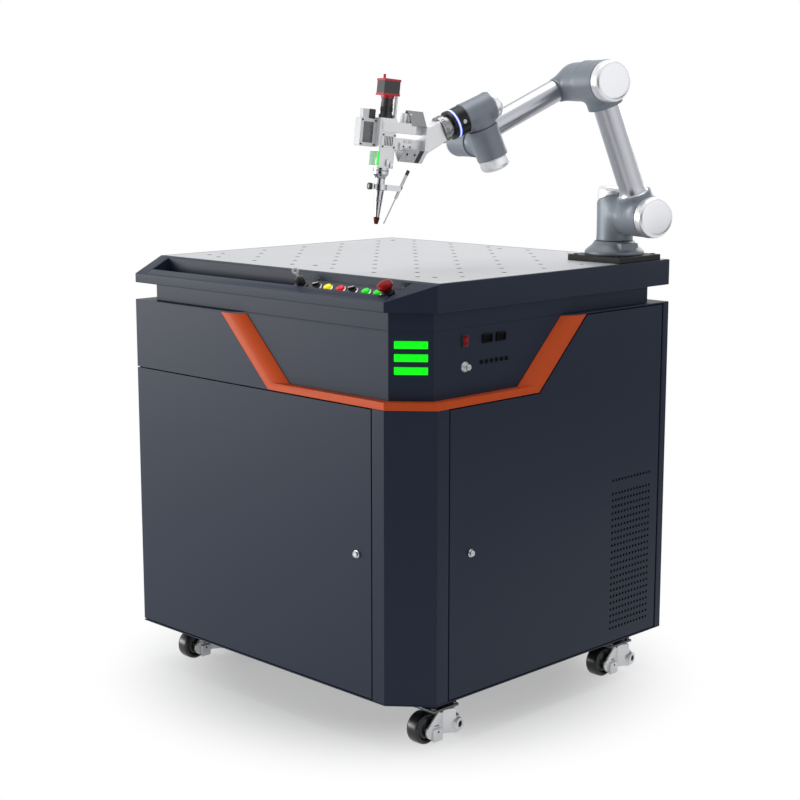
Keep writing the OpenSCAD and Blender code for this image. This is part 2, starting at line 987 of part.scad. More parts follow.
module forearm_tube() {
    color(silver)
        in_arm()
            along(elbow + fore_collar_l * leaning(fore_lean), fore_off, fore_lean)
                cylinder(r = fore_tube_r, h = fore_l - fore_collar_l - wrist_collar_l);
}

wrist_back = 44;
wrist_joint = 40;
fore_cap_end = 60;
module forearm_wrist_housing() {
    color(blue_grey)
        in_arm()
            union() {
                barrel(wrist, -wrist_back, wrist_joint - turn_gap, small_r);
                along(wrist, fore_off, fore_lean + 180)
                    cylinder(r = fore_tube_r + collar_wall, h = wrist_collar_l);
            }
}

module forearm_cap() {
    color(silver)
        in_arm()
            translate([wrist[0], -wrist_back, wrist[2]])
                rotate([90, 0, 0])
                    cap(small_r - wall_t / 2, fore_cap_end - wrist_back, cap_rim);
}

wrist_down = 37;
wrist_up = 37;
wrist_cap_end = 66;
module wrist_1_housing() {
    color(blue_grey)
        in_arm()
            union() {
                barrel(wrist, wrist_joint, tool_off, small_r - wall_t);
                along(wrist_5 - wrist_down * leaning(wrist_lean), tool_off, wrist_lean)
                    cylinder(r = small_r, h = wrist_down + wrist_up - turn_gap);
            }
}

module wrist_1_cap() {
    color(silver)
        in_arm()
            along(wrist_5 - wrist_down * leaning(wrist_lean), tool_off, wrist_lean + 180)
                cap(small_r - wall_t / 2, wrist_cap_end - wrist_down, cap_rim);
}

tool_lean = wrist_lean + 90;
barrel_back = 37;
barrel_front = 39;
back_cap_end = 57;
collar_end = 78;
ring_start = 64;
ring_end = 70;
module wrist_2_housing() {
    color(blue_grey)
        in_arm()
            union() {
                along(wrist_5 + wrist_up * leaning(wrist_lean), tool_off, wrist_lean)
                    cylinder(r = small_r - wall_t, h = wrist_rise - wrist_up);
                along(wrist_6 - barrel_back * leaning(tool_lean), tool_off, tool_lean)
                    cylinder(r = small_r - wall_t / 2, h = barrel_back + barrel_front);
            }
}

module wrist_2_cap() {
    color(silver)
        in_arm()
            along(wrist_6 - barrel_back * leaning(tool_lean), tool_off, tool_lean + 180)
                cap(small_r - wall_t, back_cap_end - barrel_back, cap_rim);
}

ring_deep = 4;
ring_in_r = small_r - wall_t - ring_deep;
module status_collar() {
    color(black)
        in_arm()
            along(wrist_6 + barrel_front * leaning(tool_lean), tool_off, tool_lean)
                difference() {
                    cylinder(r = small_r - wall_t, h = collar_end - barrel_front);
                    translate([0, 0, ring_start - barrel_front])
                        difference() {
                            cylinder(r = small_r, h = ring_end - ring_start);
                            translate([0, 0, -over])
                                cylinder(r = ring_in_r, h = ring_end - ring_start + 2 * over);
                        }
                }
}

module light_ring() {
    color([0.6, 0.75, 1])
        in_arm()
            along(wrist_6 + ring_start * leaning(tool_lean), tool_off, tool_lean)
                difference() {
                    cylinder(r = small_r - wall_t, h = ring_end - ring_start);
                    translate([0, 0, -over])
                        cylinder(r = ring_in_r, h = ring_end - ring_start + 2 * over);
                }
}

flange_r = 31.5;
flange_t = 14;
module tool_flange() {
    color(silver)
        in_arm()
            along(wrist_6 + (collar_end + turn_gap) * leaning(tool_lean), tool_off, tool_lean)
                union() {
                    cylinder(r = flange_r - 2 * wall_t, h = flange_reach - collar_end - turn_gap - flange_t);
                    translate([0, 0, flange_reach - collar_end - turn_gap - flange_t])
                        cylinder(r = flange_r, h = flange_t);
                }
}

// LASER HEAD
// In the head's own frame X points away from the arm, Y points outwards and Z runs up from the nozzle's tip.

module in_head() {
    in_arm()
        translate([flange[0], tool_off, flange[2]])
            rotate([0, -head_lean, 0])
                translate([head_reach, 0, -head_drop])
                    children();
}

z_head = nozzle_l;
z_head_top = z_head + head_h;
z_camera = z_head_top + lens_l;
back_plate_x = -89;
back_plate_t = 9;
adapter_w = 46;
adapter_half = 24;
adapter_low = 166;
adapter_high = 226;

// The adapter fills the wedge between the flange and the bracket's back plate
module tool_adapter() {
    dip = tool_lean + head_lean - 90;
    face = [-head_reach, head_drop];
    back = back_plate_x - back_plate_t;
    color(white)
        in_head()
            translate([0, adapter_w / 2, 0])
                rotate([90, 0, 0])
                    linear_extrude(adapter_w)
                        polygon([face + adapter_half * [sin(dip), cos(dip)], [back, adapter_high],
                                 [back, adapter_low], face - adapter_half * [sin(dip), cos(dip)]]);
}

// Half widths and heights of the eight-sided back plate
plate_top_w = 6;
plate_mid_w = 33;
plate_top = 261;
plate_shoulder = 227;
plate_waist = 174;
plate_foot = 145;
// Reach of the bracket's members from the plate towards the head
spine_w = 28;
spine_low = 170;
spine_high = 197;
beam_w = 20;
beam_low = 208;
beam_high = 231;
side_bar_t = 12;
side_bar_start = -50;
side_bar_end = 16;
web_near = -46;
web_far = -62;
web_high = 226;
clevis_w = 12;
clevis_near = -38;
clevis_far = -68;
clevis_top = 254;
rod_d = 6;
rod_place = [-15, 15];

// The bracket has a back plate, two members to the head, a bar along the head's side, a clevis and a rod
module head_bracket() {
    side_y = head_d / 2;
    color(white)
        in_head()
            union() {
                translate([back_plate_x - back_plate_t, 0, 0])
                    rotate([90, 0, 90])
                        linear_extrude(back_plate_t)
                            polygon([[-plate_top_w, plate_top], [-plate_mid_w, plate_shoulder],
                                     [-plate_mid_w, plate_waist], [-plate_top_w, plate_foot],
                                     [plate_top_w, plate_foot], [plate_mid_w, plate_waist],
                                     [plate_mid_w, plate_shoulder], [plate_top_w, plate_top]]);
                span([back_plate_x, -spine_w / 2, spine_low], [-head_w / 2, spine_w / 2, spine_high]);
                span([back_plate_x, -beam_w / 2, beam_low], [-head_w / 2, beam_w / 2, beam_high]);
                span([web_far, 0, beam_low], [web_near, side_y + side_bar_t, web_high]);
                span([side_bar_start, side_y, beam_low], [side_bar_end, side_y + side_bar_t, beam_high]);
                span([clevis_far, -clevis_w / 2, beam_low], [clevis_near, clevis_w / 2, clevis_top]);
                translate([rod_place[0], rod_place[1], z_head_top])
                    cylinder(d = rod_d, h = lens_l);
            }
}

upper_cheek_reach = 38;
lower_cheek_reach = 48;
cheek_skin = 5;

// Four sloping cheeks stand on the back plate's edges
module bracket_cheeks() {
    color(silver)
        in_head()
            for (side = [-1, 1])
                translate([back_plate_x, 0, 0])
                    rotate([90, 0, 90])
                        union() {
                            linear_extrude(upper_cheek_reach)
                                polygon([[side * plate_top_w, plate_top],
                                         [side * plate_mid_w, plate_shoulder],
                                         [side * (plate_mid_w - cheek_skin), plate_shoulder],
                                         [side * (plate_top_w - cheek_skin), plate_top]]);
                            linear_extrude(lower_cheek_reach)
                                polygon([[side * plate_top_w, plate_foot],
                                         [side * plate_mid_w, plate_waist],
                                         [side * (plate_mid_w - cheek_skin), plate_waist],
                                         [side * (plate_top_w - cheek_skin), plate_foot]]);
                        }
}

head_edge = 3;
module head_body() {
    side_x = head_w / 2;
    side_y = head_d / 2;
    color(white)
        in_head()
            translate([0, 0, z_head])
                linear_extrude(head_h)
                    polygon([[head_edge - side_x, -side_y], [side_x - head_edge, -side_y],
                             [side_x, head_edge - side_y], [side_x, side_y - head_edge],
                             [side_x - head_edge, side_y], [head_edge - side_x, side_y],
                             [-side_x, side_y - head_edge], [-side_x, head_edge - side_y]]);
}

// The side box has a window in its face and carries a connector block
box_l = 40;
box_face = 0;
box_deep = 30;
box_low = 172;
box_high = 234;
window_edge = 8;
window_deep = 2;
plug_near = 24;
plug_far = 54;
plug_face = -6;
plug_back = -24;
plug_top = 255;
module lens_drawer() {
    near = head_w / 2;
    color(silver)
        in_head()
            union() {
                difference() {
                    span([near, box_face - box_deep, box_low], [near + box_l, box_face, box_high]);
                    span([near + window_edge, box_face - window_deep, box_low + window_edge],
                         [near + box_l - window_edge, box_face + over, box_high - window_edge]);
                }
                span([plug_near, plug_back, box_high - over], [plug_far, plug_face, plug_top]);
            }
}

cam_plate_t = 5;
mount_d = 30;
mount_h = 6;
foot_ring_d = 33;
foot_ring_h = 8;
knob_place = [12, 0];
cam_knob_d = 6;
cam_knob_h = 10;
module camera_body() {
    color(black)
        in_head()
            union() {
                translate([0, 0, z_head_top])
                    cylinder(d = lens_d, h = lens_l - mount_h);
                translate([0, 0, z_head_top])
                    cylinder(d = foot_ring_d, h = foot_ring_h);
                span([-camera_w / 2, -camera_w / 2, z_camera + cam_plate_t],
                     [camera_w / 2, camera_w / 2, z_camera + camera_h - cam_plate_t]);
            }
}

module camera_plates() {
    half = camera_w / 2 + over;
    color([0.75, 0.08, 0.12])
        in_head()
            union() {
                for (z = [z_camera, z_camera + camera_h - cam_plate_t])
                    span([-half, -half, z], [half, half, z + cam_plate_t]);
                translate([0, 0, z_camera - mount_h])
                    cylinder(d = mount_d, h = mount_h);
                translate([knob_place[0], knob_place[1], z_camera + camera_h])
                    cylinder(d = cam_knob_d, h = cam_knob_h);
            }
}

nozzle_tip_r = 3.5;
nozzle_tip_l = 15;
nozzle_taper_r = 6;
nozzle_r = 18;
nozzle_waist_r = 11.5;
nozzle_waist_low = 76;
nozzle_waist_high = 105;
nozzle_collar = 113;
module nozzle() {
    color(silver)
        in_head()
            rotate_extrude()
                polygon([[0, 0], [nozzle_tip_r, 0], [nozzle_taper_r, nozzle_tip_l],
                         [nozzle_waist_r, nozzle_waist_low], [nozzle_waist_r, nozzle_waist_high],
                         [nozzle_r, nozzle_collar], [nozzle_r, nozzle_l], [0, nozzle_l]]);
}

guide_x = -52;
guide_z = 84;
guide_r = 3.5;
guide_tip_r = 1.6;
guide_up = 46;
guide_down = 88;
guide_step = 24;
guide_lean = 22;
clamp_h = 13;
clamp_wall = 6;
clamp_far = 20;
screw_d = 15;
screw_l = 8;
module wire_guide() {
    color(silver)
        in_head()
            difference() {
                union() {
                    translate([0, 0, guide_z - clamp_h / 2])
                        cylinder(r = nozzle_waist_r + clamp_wall, h = clamp_h);
                    span([guide_x, -clamp_wall, guide_z - clamp_h / 2],
                         [clamp_far, clamp_wall, guide_z + clamp_h / 2]);
                    translate([clamp_far, 0, guide_z])
                        rotate([0, 90, 0])
                            cylinder(d = screw_d, h = screw_l);
                    translate([guide_x, 0, guide_z])
                        rotate([0, -guide_lean, 0])
                            union() {
                                translate([0, 0, -guide_step])
                                    cylinder(r = guide_r, h = guide_step + guide_up);
                                translate([0, 0, -guide_down])
                                    cylinder(r = guide_tip_r, h = guide_down);
                            }
                }
                cylinder(r = nozzle_waist_r, h = nozzle_l);
            }
}

cabinet_floor();
corner_post();
left_side_wall();
rear_wall();
side_rear_post();
cabinet_deck();
front_upper_panel();
accent_trim();
control_fascia();
neck();
top_frame();
table_plate();
robot_riser_plate();
status_light_bars();
power_rocker();
key_knob();
fascia_sockets();
tray_push_buttons();
tray_switches();
emergency_stop();
caster_plates();
arm_base();
front_door();
front_door_lock();
side_door();
side_door_lock();
caster_fork(-1, -1);  // caster_fork_front_left
caster_fork(1, -1);  // caster_fork_front_right
caster_fork(-1, 1);  // caster_fork_rear_left
caster_fork(1, 1);  // caster_fork_rear_right
caster_wheel(-1, -1);  // caster_wheel_front_left
caster_wheel(1, -1);  // caster_wheel_front_right
caster_wheel(-1, 1);  // caster_wheel_rear_left
caster_wheel(1, 1);  // caster_wheel_rear_right
shoulder_housing();
shoulder_cap();
upper_arm_shoulder_housing();
upper_arm_tube();
upper_arm_elbow_housing();
upper_arm_caps();
forearm_elbow_housing();
forearm_tube();
forearm_wrist_housing();
forearm_cap();
wrist_1_housing();
wrist_1_cap();
wrist_2_housing();
wrist_2_cap();
status_collar();
light_ring();
tool_flange();
tool_adapter();
head_bracket();
bracket_cheeks();
head_body();
lens_drawer();
camera_body();
camera_plates();
nozzle();
wire_guide();
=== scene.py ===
# A wheeled welding workstation: a sheet steel cabinet on castors, a drilled work table with a control
# tray along its front, and a six-axis arm that carries a laser welding head over the table.
# Metres, +Z up, the front door faces -Y and the side door faces +X.

import math

import bmesh
import bpy
import numpy as np
from mathutils import Matrix, Vector


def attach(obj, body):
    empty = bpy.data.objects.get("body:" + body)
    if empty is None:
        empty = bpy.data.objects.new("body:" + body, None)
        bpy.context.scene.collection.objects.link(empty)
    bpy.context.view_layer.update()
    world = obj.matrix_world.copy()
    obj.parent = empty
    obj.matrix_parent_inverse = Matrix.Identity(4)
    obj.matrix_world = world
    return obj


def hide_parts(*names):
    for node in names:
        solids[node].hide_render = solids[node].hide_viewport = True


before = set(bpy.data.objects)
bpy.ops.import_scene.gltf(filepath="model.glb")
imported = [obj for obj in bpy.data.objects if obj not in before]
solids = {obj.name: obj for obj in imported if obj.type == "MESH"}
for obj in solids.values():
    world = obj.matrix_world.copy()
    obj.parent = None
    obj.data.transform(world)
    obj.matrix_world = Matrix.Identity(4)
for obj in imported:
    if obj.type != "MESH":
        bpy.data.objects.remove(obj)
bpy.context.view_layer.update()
scene = bpy.context.scene


# CAMERA
# The camera looks at the chamfered corner of the cabinet from just above the table, through a long
# lens, so that both doors and the whole arm are in view.
view_turn = math.radians(45)
view_lift = math.radians(10.08)
view_distance = 4.261
view_middle = Vector((-0.001, -0.001, 0.7096))
lens = bpy.data.cameras.new("camera")
lens.sensor_width = 36
lens.lens = 74.25
camera = bpy.data.objects.new("camera", lens)
camera.location = view_middle + view_distance * Vector((
    math.cos(view_lift) * math.sin(view_turn), -math.cos(view_lift) * math.cos(view_turn), math.sin(view_lift)))
camera.rotation_euler = (view_middle - camera.location).to_track_quat("-Z", "Y").to_euler()
scene.collection.objects.link(camera)
scene.camera = camera


# CABINET SHELL
# The shell is folded sheet steel on a welded base frame, powder coated in dark slate.
# The folds and the thick coat leave every edge slightly rounded.

class Wire:
    """An output socket of a finish. Sums of wires add the Math nodes that work them out."""

    def __init__(self, socket):
        self.socket = socket

    def node(self, kind, settings, sockets, out=0):
        tree = self.socket.id_data
        made = tree.nodes.new("ShaderNode" + kind)
        for name, value in settings.items():
            setattr(made, name, value)
        for name, value in sockets.items():
            if isinstance(value, Wire):
                tree.links.new(value.socket, made.inputs[name])
            else:
                made.inputs[name].default_value = value
        return Wire(made.outputs[out])

    def maths(self, operation, first, second):
        return self.node("Math", {"operation": operation}, {0: first, 1: second})

    def __add__(self, other):
        return self.maths("ADD", self, other)

    def __radd__(self, other):
        return self.maths("ADD", other, self)

    def __sub__(self, other):
        return self.maths("SUBTRACT", self, other)

    def __rsub__(self, other):
        return self.maths("SUBTRACT", other, self)

    def __mul__(self, other):
        return self.maths("MULTIPLY", self, other)

    def __rmul__(self, other):
        return self.maths("MULTIPLY", other, self)

    def __gt__(self, other):
        return self.maths("GREATER_THAN", self, other)

    def __abs__(self):
        return self.node("Math", {"operation": "ABSOLUTE"}, {0: self})

    def blend(self, start, end):
        return self.node("Mix", {"data_type": "RGBA"}, {0: self, 6: start, 7: end}, 2)

    def into(self, socket):
        self.socket.id_data.links.new(self.socket, socket)


def tone(red, green, blue):
    """A colour as a screen shows it, from 0 to 255, as the linear value that a shader takes."""
    shares = (red / 255, green / 255, blue / 255)
    return tuple(v / 12.92 if v < 0.04045 else ((v + 0.055) / 1.055) ** 2.4 for v in shares) + (1.0,)


def finish(name, steady):
    """A new material with its steady values set, its shader's sockets, and a wire of the place on the part."""
    material = bpy.data.materials.new(name)
    material.use_nodes = True
    tree = material.node_tree
    shader = tree.nodes["Principled BSDF"].inputs
    for socket, value in steady.items():
        shader[socket].default_value = value
    return material, shader, Wire(tree.nodes.new("ShaderNodeTexCoord").outputs["Object"])


def speckle(place, scale, detail=2.0):
    """Even noise over the part, finer with a larger scale."""
    return place.node("TexNoise", {}, {"Vector": place, "Scale": scale, "Detail": detail})


def powder_coat(name, bright, dull, roughness, pebble_depth=0.00012, gloss=0.18, metal=0.0):
    """A baked coat: faint clouding, a fine pebbled surface, and a gloss that varies with the pebbles."""
    material, shader, place = finish(name, {"Specular IOR Level": gloss, "Metallic": metal})
    cloud = speckle(place, 2.6, 3.0)
    pebble = speckle(place, 620.0)
    (cloud * 0.75 + pebble * 0.25).blend(dull, bright).into(shader["Base Color"])
    (roughness - 0.07 + pebble * 0.14).into(shader["Roughness"])
    pebble.node("Bump", {}, {"Strength": 0.35, "Distance": pebble_depth, "Height": pebble}).into(shader["Normal"])
    return material


def join_corners(piece):
    """Joins the corners that a solid's faces share, so that its edges can be worked."""
    weld = piece.modifiers.new("weld", "WELD")
    weld.merge_threshold = 0.00002


def dress(node, material, edge=0.0, segments=2):
    """Gives a solid its finish, and rounds its edges by a width in millimetres."""
    piece = solids[node]
    piece.data.materials.clear()
    piece.data.materials.append(material)
    if edge:
        join_corners(piece)
        ease = piece.modifiers.new("eased edges", "BEVEL")
        ease.width = edge / 1000
        ease.segments = segments
        ease.limit_method = "ANGLE"
        ease.angle_limit = math.radians(38)
        even = piece.modifiers.new("even shading", "WEIGHTED_NORMAL")
        even.keep_sharp = False


slate_coat = powder_coat("slate_powder_coat", tone(41, 50, 67), tone(37, 46, 63), 0.44)
for node, edge in {
    "cabinet_floor": 0.8, "corner_post": 1.6, "side_rear_post": 1.2, "cabinet_deck": 0.8,
    "front_upper_panel": 1.6, "control_fascia": 0.6, "neck": 1.2, "top_frame": 1.6, "front_door": 1.6,
}.items():
    dress(node, slate_coat, edge)


# PIERCED PANELS
# The side door is a laser-cut sheet with a field of small square vents for the chiller's air, and the
# back and the left side have rows of slots. They are cut before the sheet is folded and coated.

shop = Matrix.Scale(0.001, 4)


def ease_into(mesh, made, spot, edge, segments=2):
    """Rounds a drawn solid's edges and adds it to a mesh at its spot."""
    if edge:
        made.normal_update()
        folds = [fold for fold in made.edges if fold.calc_face_angle(0) > 0.01]
        bmesh.ops.bevel(made, geom=folds, offset=edge, segments=segments, profile=0.5, affect="EDGES")
    bmesh.ops.transform(made, matrix=spot, verts=made.verts)
    spare = bpy.data.meshes.new("spare")
    made.to_mesh(spare)
    made.free()
    mesh.from_mesh(spare)
    bpy.data.meshes.remove(spare)


def block(mesh, spot, low, high, edge, segments=2):
    """Adds a block with rounded edges between two corners, in the millimetres of its spot."""
    low, high = Vector(low), Vector(high)
    made = bmesh.new()
    bmesh.ops.create_cube(made, size=1.0)
    stretch = Matrix.Translation((low + high) / 2) @ Matrix.Diagonal((*(high - low), 1.0))
    bmesh.ops.transform(made, matrix=stretch, verts=made.verts)
    ease_into(mesh, made, spot, edge, segments)


def shade(mesh):
    """Shades a mesh smooth, with its creases kept."""
    mesh.shade_smooth()
    mesh.set_sharp_from_angle(angle=math.radians(34))


def fit(name, mesh, material, body, slot, *stands_for):
    """Puts a finished mesh on its body, and in the place of the solids that it stands for."""
    mesh.materials.clear()
    mesh.materials.append(material)
    piece = bpy.data.objects.new(name, mesh)
    scene.collection.objects.link(piece)
    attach(piece, body)
    if stands_for:
        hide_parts(*stands_for)


def settled(piece):
    """The mesh of a piece with its modifiers worked in. The piece itself is thrown away."""
    mesh = bpy.data.meshes.new_from_object(piece.evaluated_get(bpy.context.evaluated_depsgraph_get()))
    bpy.data.objects.remove(piece)
    if "custom_normal" in mesh.attributes:
        mesh.attributes.remove(mesh.attributes["custom_normal"])
    return mesh


def spare_piece(mesh):
    """A piece that is only worked on, and thrown away once its mesh is settled."""
    piece = bpy.data.objects.new("spare", mesh)
    scene.collection.objects.link(piece)
    return piece


def pierce(name, node, holes, body):
    """Cuts a set of holes through a panel."""
    cut_mesh = bpy.data.meshes.new("holes")
    holes.to_mesh(cut_mesh)
    holes.free()
    cutter = spare_piece(cut_mesh)
    panel = spare_piece(solids[node].data.copy())
    join_corners(panel)
    cut = panel.modifiers.new("cut", "BOOLEAN")
    cut.object = cutter
    cut.solver = "EXACT"
    mesh = settled(panel)
    bpy.data.objects.remove(cutter)
    shade(mesh)
    fit(name, mesh, slate_coat, body, "slate_paint", node)


def vent_field(middles, half_size):
    """The solid that cuts a field of vents, from their middles and half the size of each."""
    field = bmesh.new()
    for middle in middles:
        block(field, shop, Vector(middle) - Vector(half_size), Vector(middle) + Vector(half_size), 0)
    return field


cabinet_right, cabinet_rear = 500, 460
cut_reach = 20
square_vent, square_step, square_row_step = 6.4, 12.4, 16.67
side_rows = [536] + [502 - square_row_step * row for row in range(22)]
side_vents = vent_field(
    [(cabinet_right, 251 + square_step * column, row_z) for row_z in side_rows for column in range(13)],
    (cut_reach, square_vent / 2, square_vent / 2))
pierce("side_door_panel", "side_door", side_vents, "side_door")

slot_width, slot_height = 46, 5
slot_step, row_step = 70, 18
rear_vents = vent_field(
    [(-175 + slot_step * column, cabinet_rear, 620 + row_step * row) for row in range(12) for column in range(6)],
    (slot_width / 2, cut_reach, slot_height / 2))
pierce("rear_panel", "rear_wall", rear_vents, "cabinet")
left_vents = vent_field(
    [(-cabinet_right, -20 + slot_step * column, 190 + row_step * row) for row in range(14) for column in range(5)],
    (cut_reach, slot_width / 2, slot_height / 2))
pierce("left_panel", "left_side_wall", left_vents, "cabinet")


# DOOR LOCKS
# Each door has a quarter-turn lock: a plated zinc barrel in a rosette, with a slot for the key.
# It goes through a round hole in the sheet and is held by a nut from inside.

def turned(mesh, spot, outline, steps=40, ring=False):
    """Adds a piece turned about its spot's Z. The outline is of radius and height; a ring closes on itself."""
    loops = []
    for radius, height in outline:
        turns = [0.0] if radius == 0 else [math.tau * k / steps for k in range(steps)]
        loops.append([mesh.verts.new(spot @ Vector((radius * math.cos(t), radius * math.sin(t), height)))
                      for t in turns])
    for lower, upper in zip(loops, loops[1:] + (loops[:1] if ring else [])):
        for k in range(steps):
            corners = [lower[k % len(lower)], lower[(k + 1) % len(lower)],
                       upper[(k + 1) % len(upper)], upper[k % len(upper)]]
            corners = list(dict.fromkeys(corners))
            if len(corners) > 2:
                mesh.faces.new(corners)


def make(name, shape, material, body, slot, *stands_for):
    """Turns a drawn shape into a piece."""
    bmesh.ops.recalc_face_normals(shape, faces=shape.faces)
    mesh = bpy.data.meshes.new(name)
    shape.to_mesh(mesh)
    shape.free()
    shade(mesh)
    fit(name, mesh, material, body, slot, *stands_for)


def satin_metal(name, colour, shade_colour, roughness, stretch=(60.0, 60.0, 60.0)):
    """Machined or plated metal with fine tool marks, drawn out along one direction where it is brushed."""
    material, shader, place = finish(name, {"Metallic": 1.0})
    drawn = place.node("Mapping", {}, {"Vector": place, "Scale": stretch})
    marks = speckle(drawn, 12.0, 4.0)
    patch = speckle(place, 9.0)
    (marks * 0.7 + patch * 0.3).blend(shade_colour, colour).into(shader["Base Color"])
    (roughness - 0.08 + marks * 0.16).into(shader["Roughness"])
    marks.node("Bump", {}, {"Strength": 0.12, "Distance": 0.0001, "Height": marks}).into(shader["Normal"])
    return material


def standing(x, y, z):
    """An upright spot at a place in millimetres."""
    return shop @ Matrix.Translation((x, y, z))


def facing(x, y, z, out):
    """A spot at a place in millimetres, with its Z level along a direction and its Y upright."""
    out, up = Vector(out), Vector((0, 0, 1))
    return standing(x, y, z) @ Matrix((up.cross(out), up, out)).transposed().to_4x4()


bright_metal = satin_metal("plated_metal", tone(214, 215, 218), tone(176, 178, 182), 0.26)
lock_outline = [(0, 0), (9.5, 0), (9.5, 2.6), (8.6, 3.8), (7.2, 4.0), (7.0, 7.4), (6.5, 8.0), (4.8, 8.0),
                (4.4, 7.2), (0, 7.2)]
lock_height = 452
cabinet_front = -462.5
for body, spot in {
    "front_door": facing(322, cabinet_front, lock_height, (0, -1, 0)),
    "side_door": facing(cabinet_right, -274.5, lock_height, (1, 0, 0)),
}.items():
    barrel = bmesh.new()
    turned(barrel, spot, lock_outline, 32)
    block(barrel, spot, (-3.6, -0.6, 7.0), (3.6, 0.6, 7.7), 0.2)
    make(body + "_lock_barrel", barrel, bright_metal, body, "bright_metal", body + "_lock")


# ACCENT TRIM
# A folded band of sheet steel, coated in orange, runs down across the corner in front of the sunk fascia.
# It is fixed from behind, so no screw shows.
accent_coat = powder_coat("orange_powder_coat", tone(224, 90, 36), tone(216, 82, 30), 0.42)
dress("accent_trim", accent_coat, 1.0)


# WORK TABLE
# The work plate is ground aluminium with a grid of fixture holes, and is held by blackened screws. Each hole
# holds a black cup with a thin ring on the plate, painted shade for the hole and its countersink. The riser
# under the arm is a blackened steel block with a socket screw in each corner.

def cap_screw(mesh, spot, width, height):
    """A socket-head screw that stands on its spot."""
    r = width / 2
    turned(mesh, spot, [(0, 0), (r, 0), (r, 0.8 * height), (0.86 * r, height), (0.52 * r, height),
                        (0.5 * r, 0.45 * height), (0, 0.45 * height)], 18)


table_metal, table, table_place = finish("ground_plate", {"Metallic": 0.25, "Specular IOR Level": 0.5})
ground_along = table_place.node("Mapping", {}, {"Vector": table_place, "Scale": (3.0, 260.0, 40.0)})
ground = speckle(ground_along, 6.0, 5.0)
worn = speckle(table_place, 5.0, 4.0)
(ground * 0.55 + worn * 0.45).blend(tone(196, 197, 200), tone(216, 217, 219)).into(table["Base Color"])
(0.34 + ground * 0.14).into(table["Roughness"])
ground.node("Bump", {}, {"Strength": 0.1, "Distance": 0.0001, "Height": ground}).into(table["Normal"])
dress("table_plate", table_metal)

black_oxide = powder_coat("black_oxide", tone(40, 41, 42), tone(32, 32, 33), 0.44)
dress("robot_riser_plate", black_oxide, 1.5)

table_top, riser_top = 1076, 1091
riser_x, riser_y, riser_reach = 414, 345, 88


def under_riser(x, y):
    """True where the riser covers the table."""
    return abs(x - riser_x) < riser_reach and abs(y - riser_y) < riser_reach


plate_screws = bmesh.new()
for x in (-420, -10, 392):
    for y in (-283, 390):
        if not under_riser(x, y):
            turned(plate_screws, standing(x, y, table_top), [
                (0, -2), (6.6, -2), (6.6, 0.1), (6.2, 0.3), (3, 0.3), (2.8, -1.2), (0, -1.2)], 24)
make("plate_screws", plate_screws, black_oxide, "cabinet", "black_oxide")

riser_screws = bmesh.new()
for x in (-68, 68):
    for y in (-68, 68):
        cap_screw(riser_screws, standing(riser_x + x, riser_y + y, riser_top), width=13, height=2)
make("riser_screws", riser_screws, black_oxide, "cabinet", "black_oxide")

hole_pitch, grid_middle = 71.5, 54.5
# Black cups and rim rings in the holes are painted shade for the holes and their countersinks.
liner_outline = [(0, -9.6), (3.9, -9.6), (3.9, -0.4), (6.4, -0.4), (6.4, 0.1), (3.8, 0.1), (3.3, -0.8), (3.3, -9),
                (0, -9)]
hole_shade_liners = bmesh.new()
for column in range(13):
    for row in range(11):
        x, y = hole_pitch * (column - 6), grid_middle + hole_pitch * (row - 5)
        if (column + row) % 2 == 1 and not under_riser(x, y):
            turned(hole_shade_liners, standing(x, y, table_top), liner_outline, 18)
make("hole_shade_liners", hole_shade_liners, black_oxide, "cabinet", "black_oxide")


# FASCIA CONTROLS
# Three green status bars glow through moulded covers on the chamfer. Beside them are a red mains rocker
# in a frame, a nickel plated key switch, two sockets and a row of six jacks, all pressed into the sheet.

def moulded(name, bright, dull, roughness, gloss=0.5):
    """A moulded plastic or an anodised alloy with a fine, even grain."""
    material, shader, place = finish(name, {"Specular IOR Level": gloss})
    grain = speckle(place, 1100.0)
    flow = speckle(place, 30.0)
    (grain * 0.4 + flow * 0.6).blend(dull, bright).into(shader["Base Color"])
    (roughness - 0.06 + grain * 0.12).into(shader["Roughness"])
    grain.node("Bump", {}, {"Strength": 0.2, "Distance": 0.00008, "Height": grain}).into(shader["Normal"])
    return material


def glow(name, core, edge, body_colour, strength):
    """A lit cover, a little uneven where the lamps sit behind it, or a painted glow on a part with no lamp."""
    material, shader, place = finish(name, {
        "Base Color": body_colour, "Roughness": 0.3, "Emission Strength": strength})
    speckle(place, 55.0).blend(edge, core).into(shader["Emission Color"])
    return material


green_glow = glow("green_bar_glow", (0.0, 1.0, 0.0, 1.0), (0.0, 0.9, 0.01, 1.0), tone(20, 120, 20),
                  strength=1.0)
dress("status_light_bars", green_glow, 1.0)

black_plastic = moulded("black_plastic", tone(34, 34, 37), tone(22, 22, 25), 0.42)
socket_black = moulded("socket_black", tone(8, 8, 12), tone(4, 4, 8), 0.6, gloss=0.1)
red_plastic = moulded("red_plastic", tone(158, 2, 12), tone(136, 0, 8), 0.36, gloss=0.15)


fascia_face, fascia_front, fascia_top = 478, -384.5, 969


def fascia_spot(behind, drop):
    """A spot on the sunk fascia, at a distance behind its front edge and below its top."""
    return facing(fascia_face, fascia_front + behind, fascia_top - drop, (1, 0, 0))


def surround(mesh, spot, outer, inner, height, edge):
    """Adds a rectangular frame with rounded edges. Outer and inner give its left, low, right and high sides."""
    made = bmesh.new()
    loops = []
    for (left, low, right, high), z in ((outer, 0), (outer, height), (inner, height), (inner, 0)):
        corners = ((left, low), (right, low), (right, high), (left, high))
        loops.append([made.verts.new((x, y, z)) for x, y in corners])
    for first, second in zip(loops, loops[1:] + loops[:1]):
        for k in range(4):
            made.faces.new((first[k - 1], first[k], second[k], second[k - 1]))
    bmesh.ops.recalc_face_normals(made, faces=made.faces)
    ease_into(mesh, made, spot, edge)


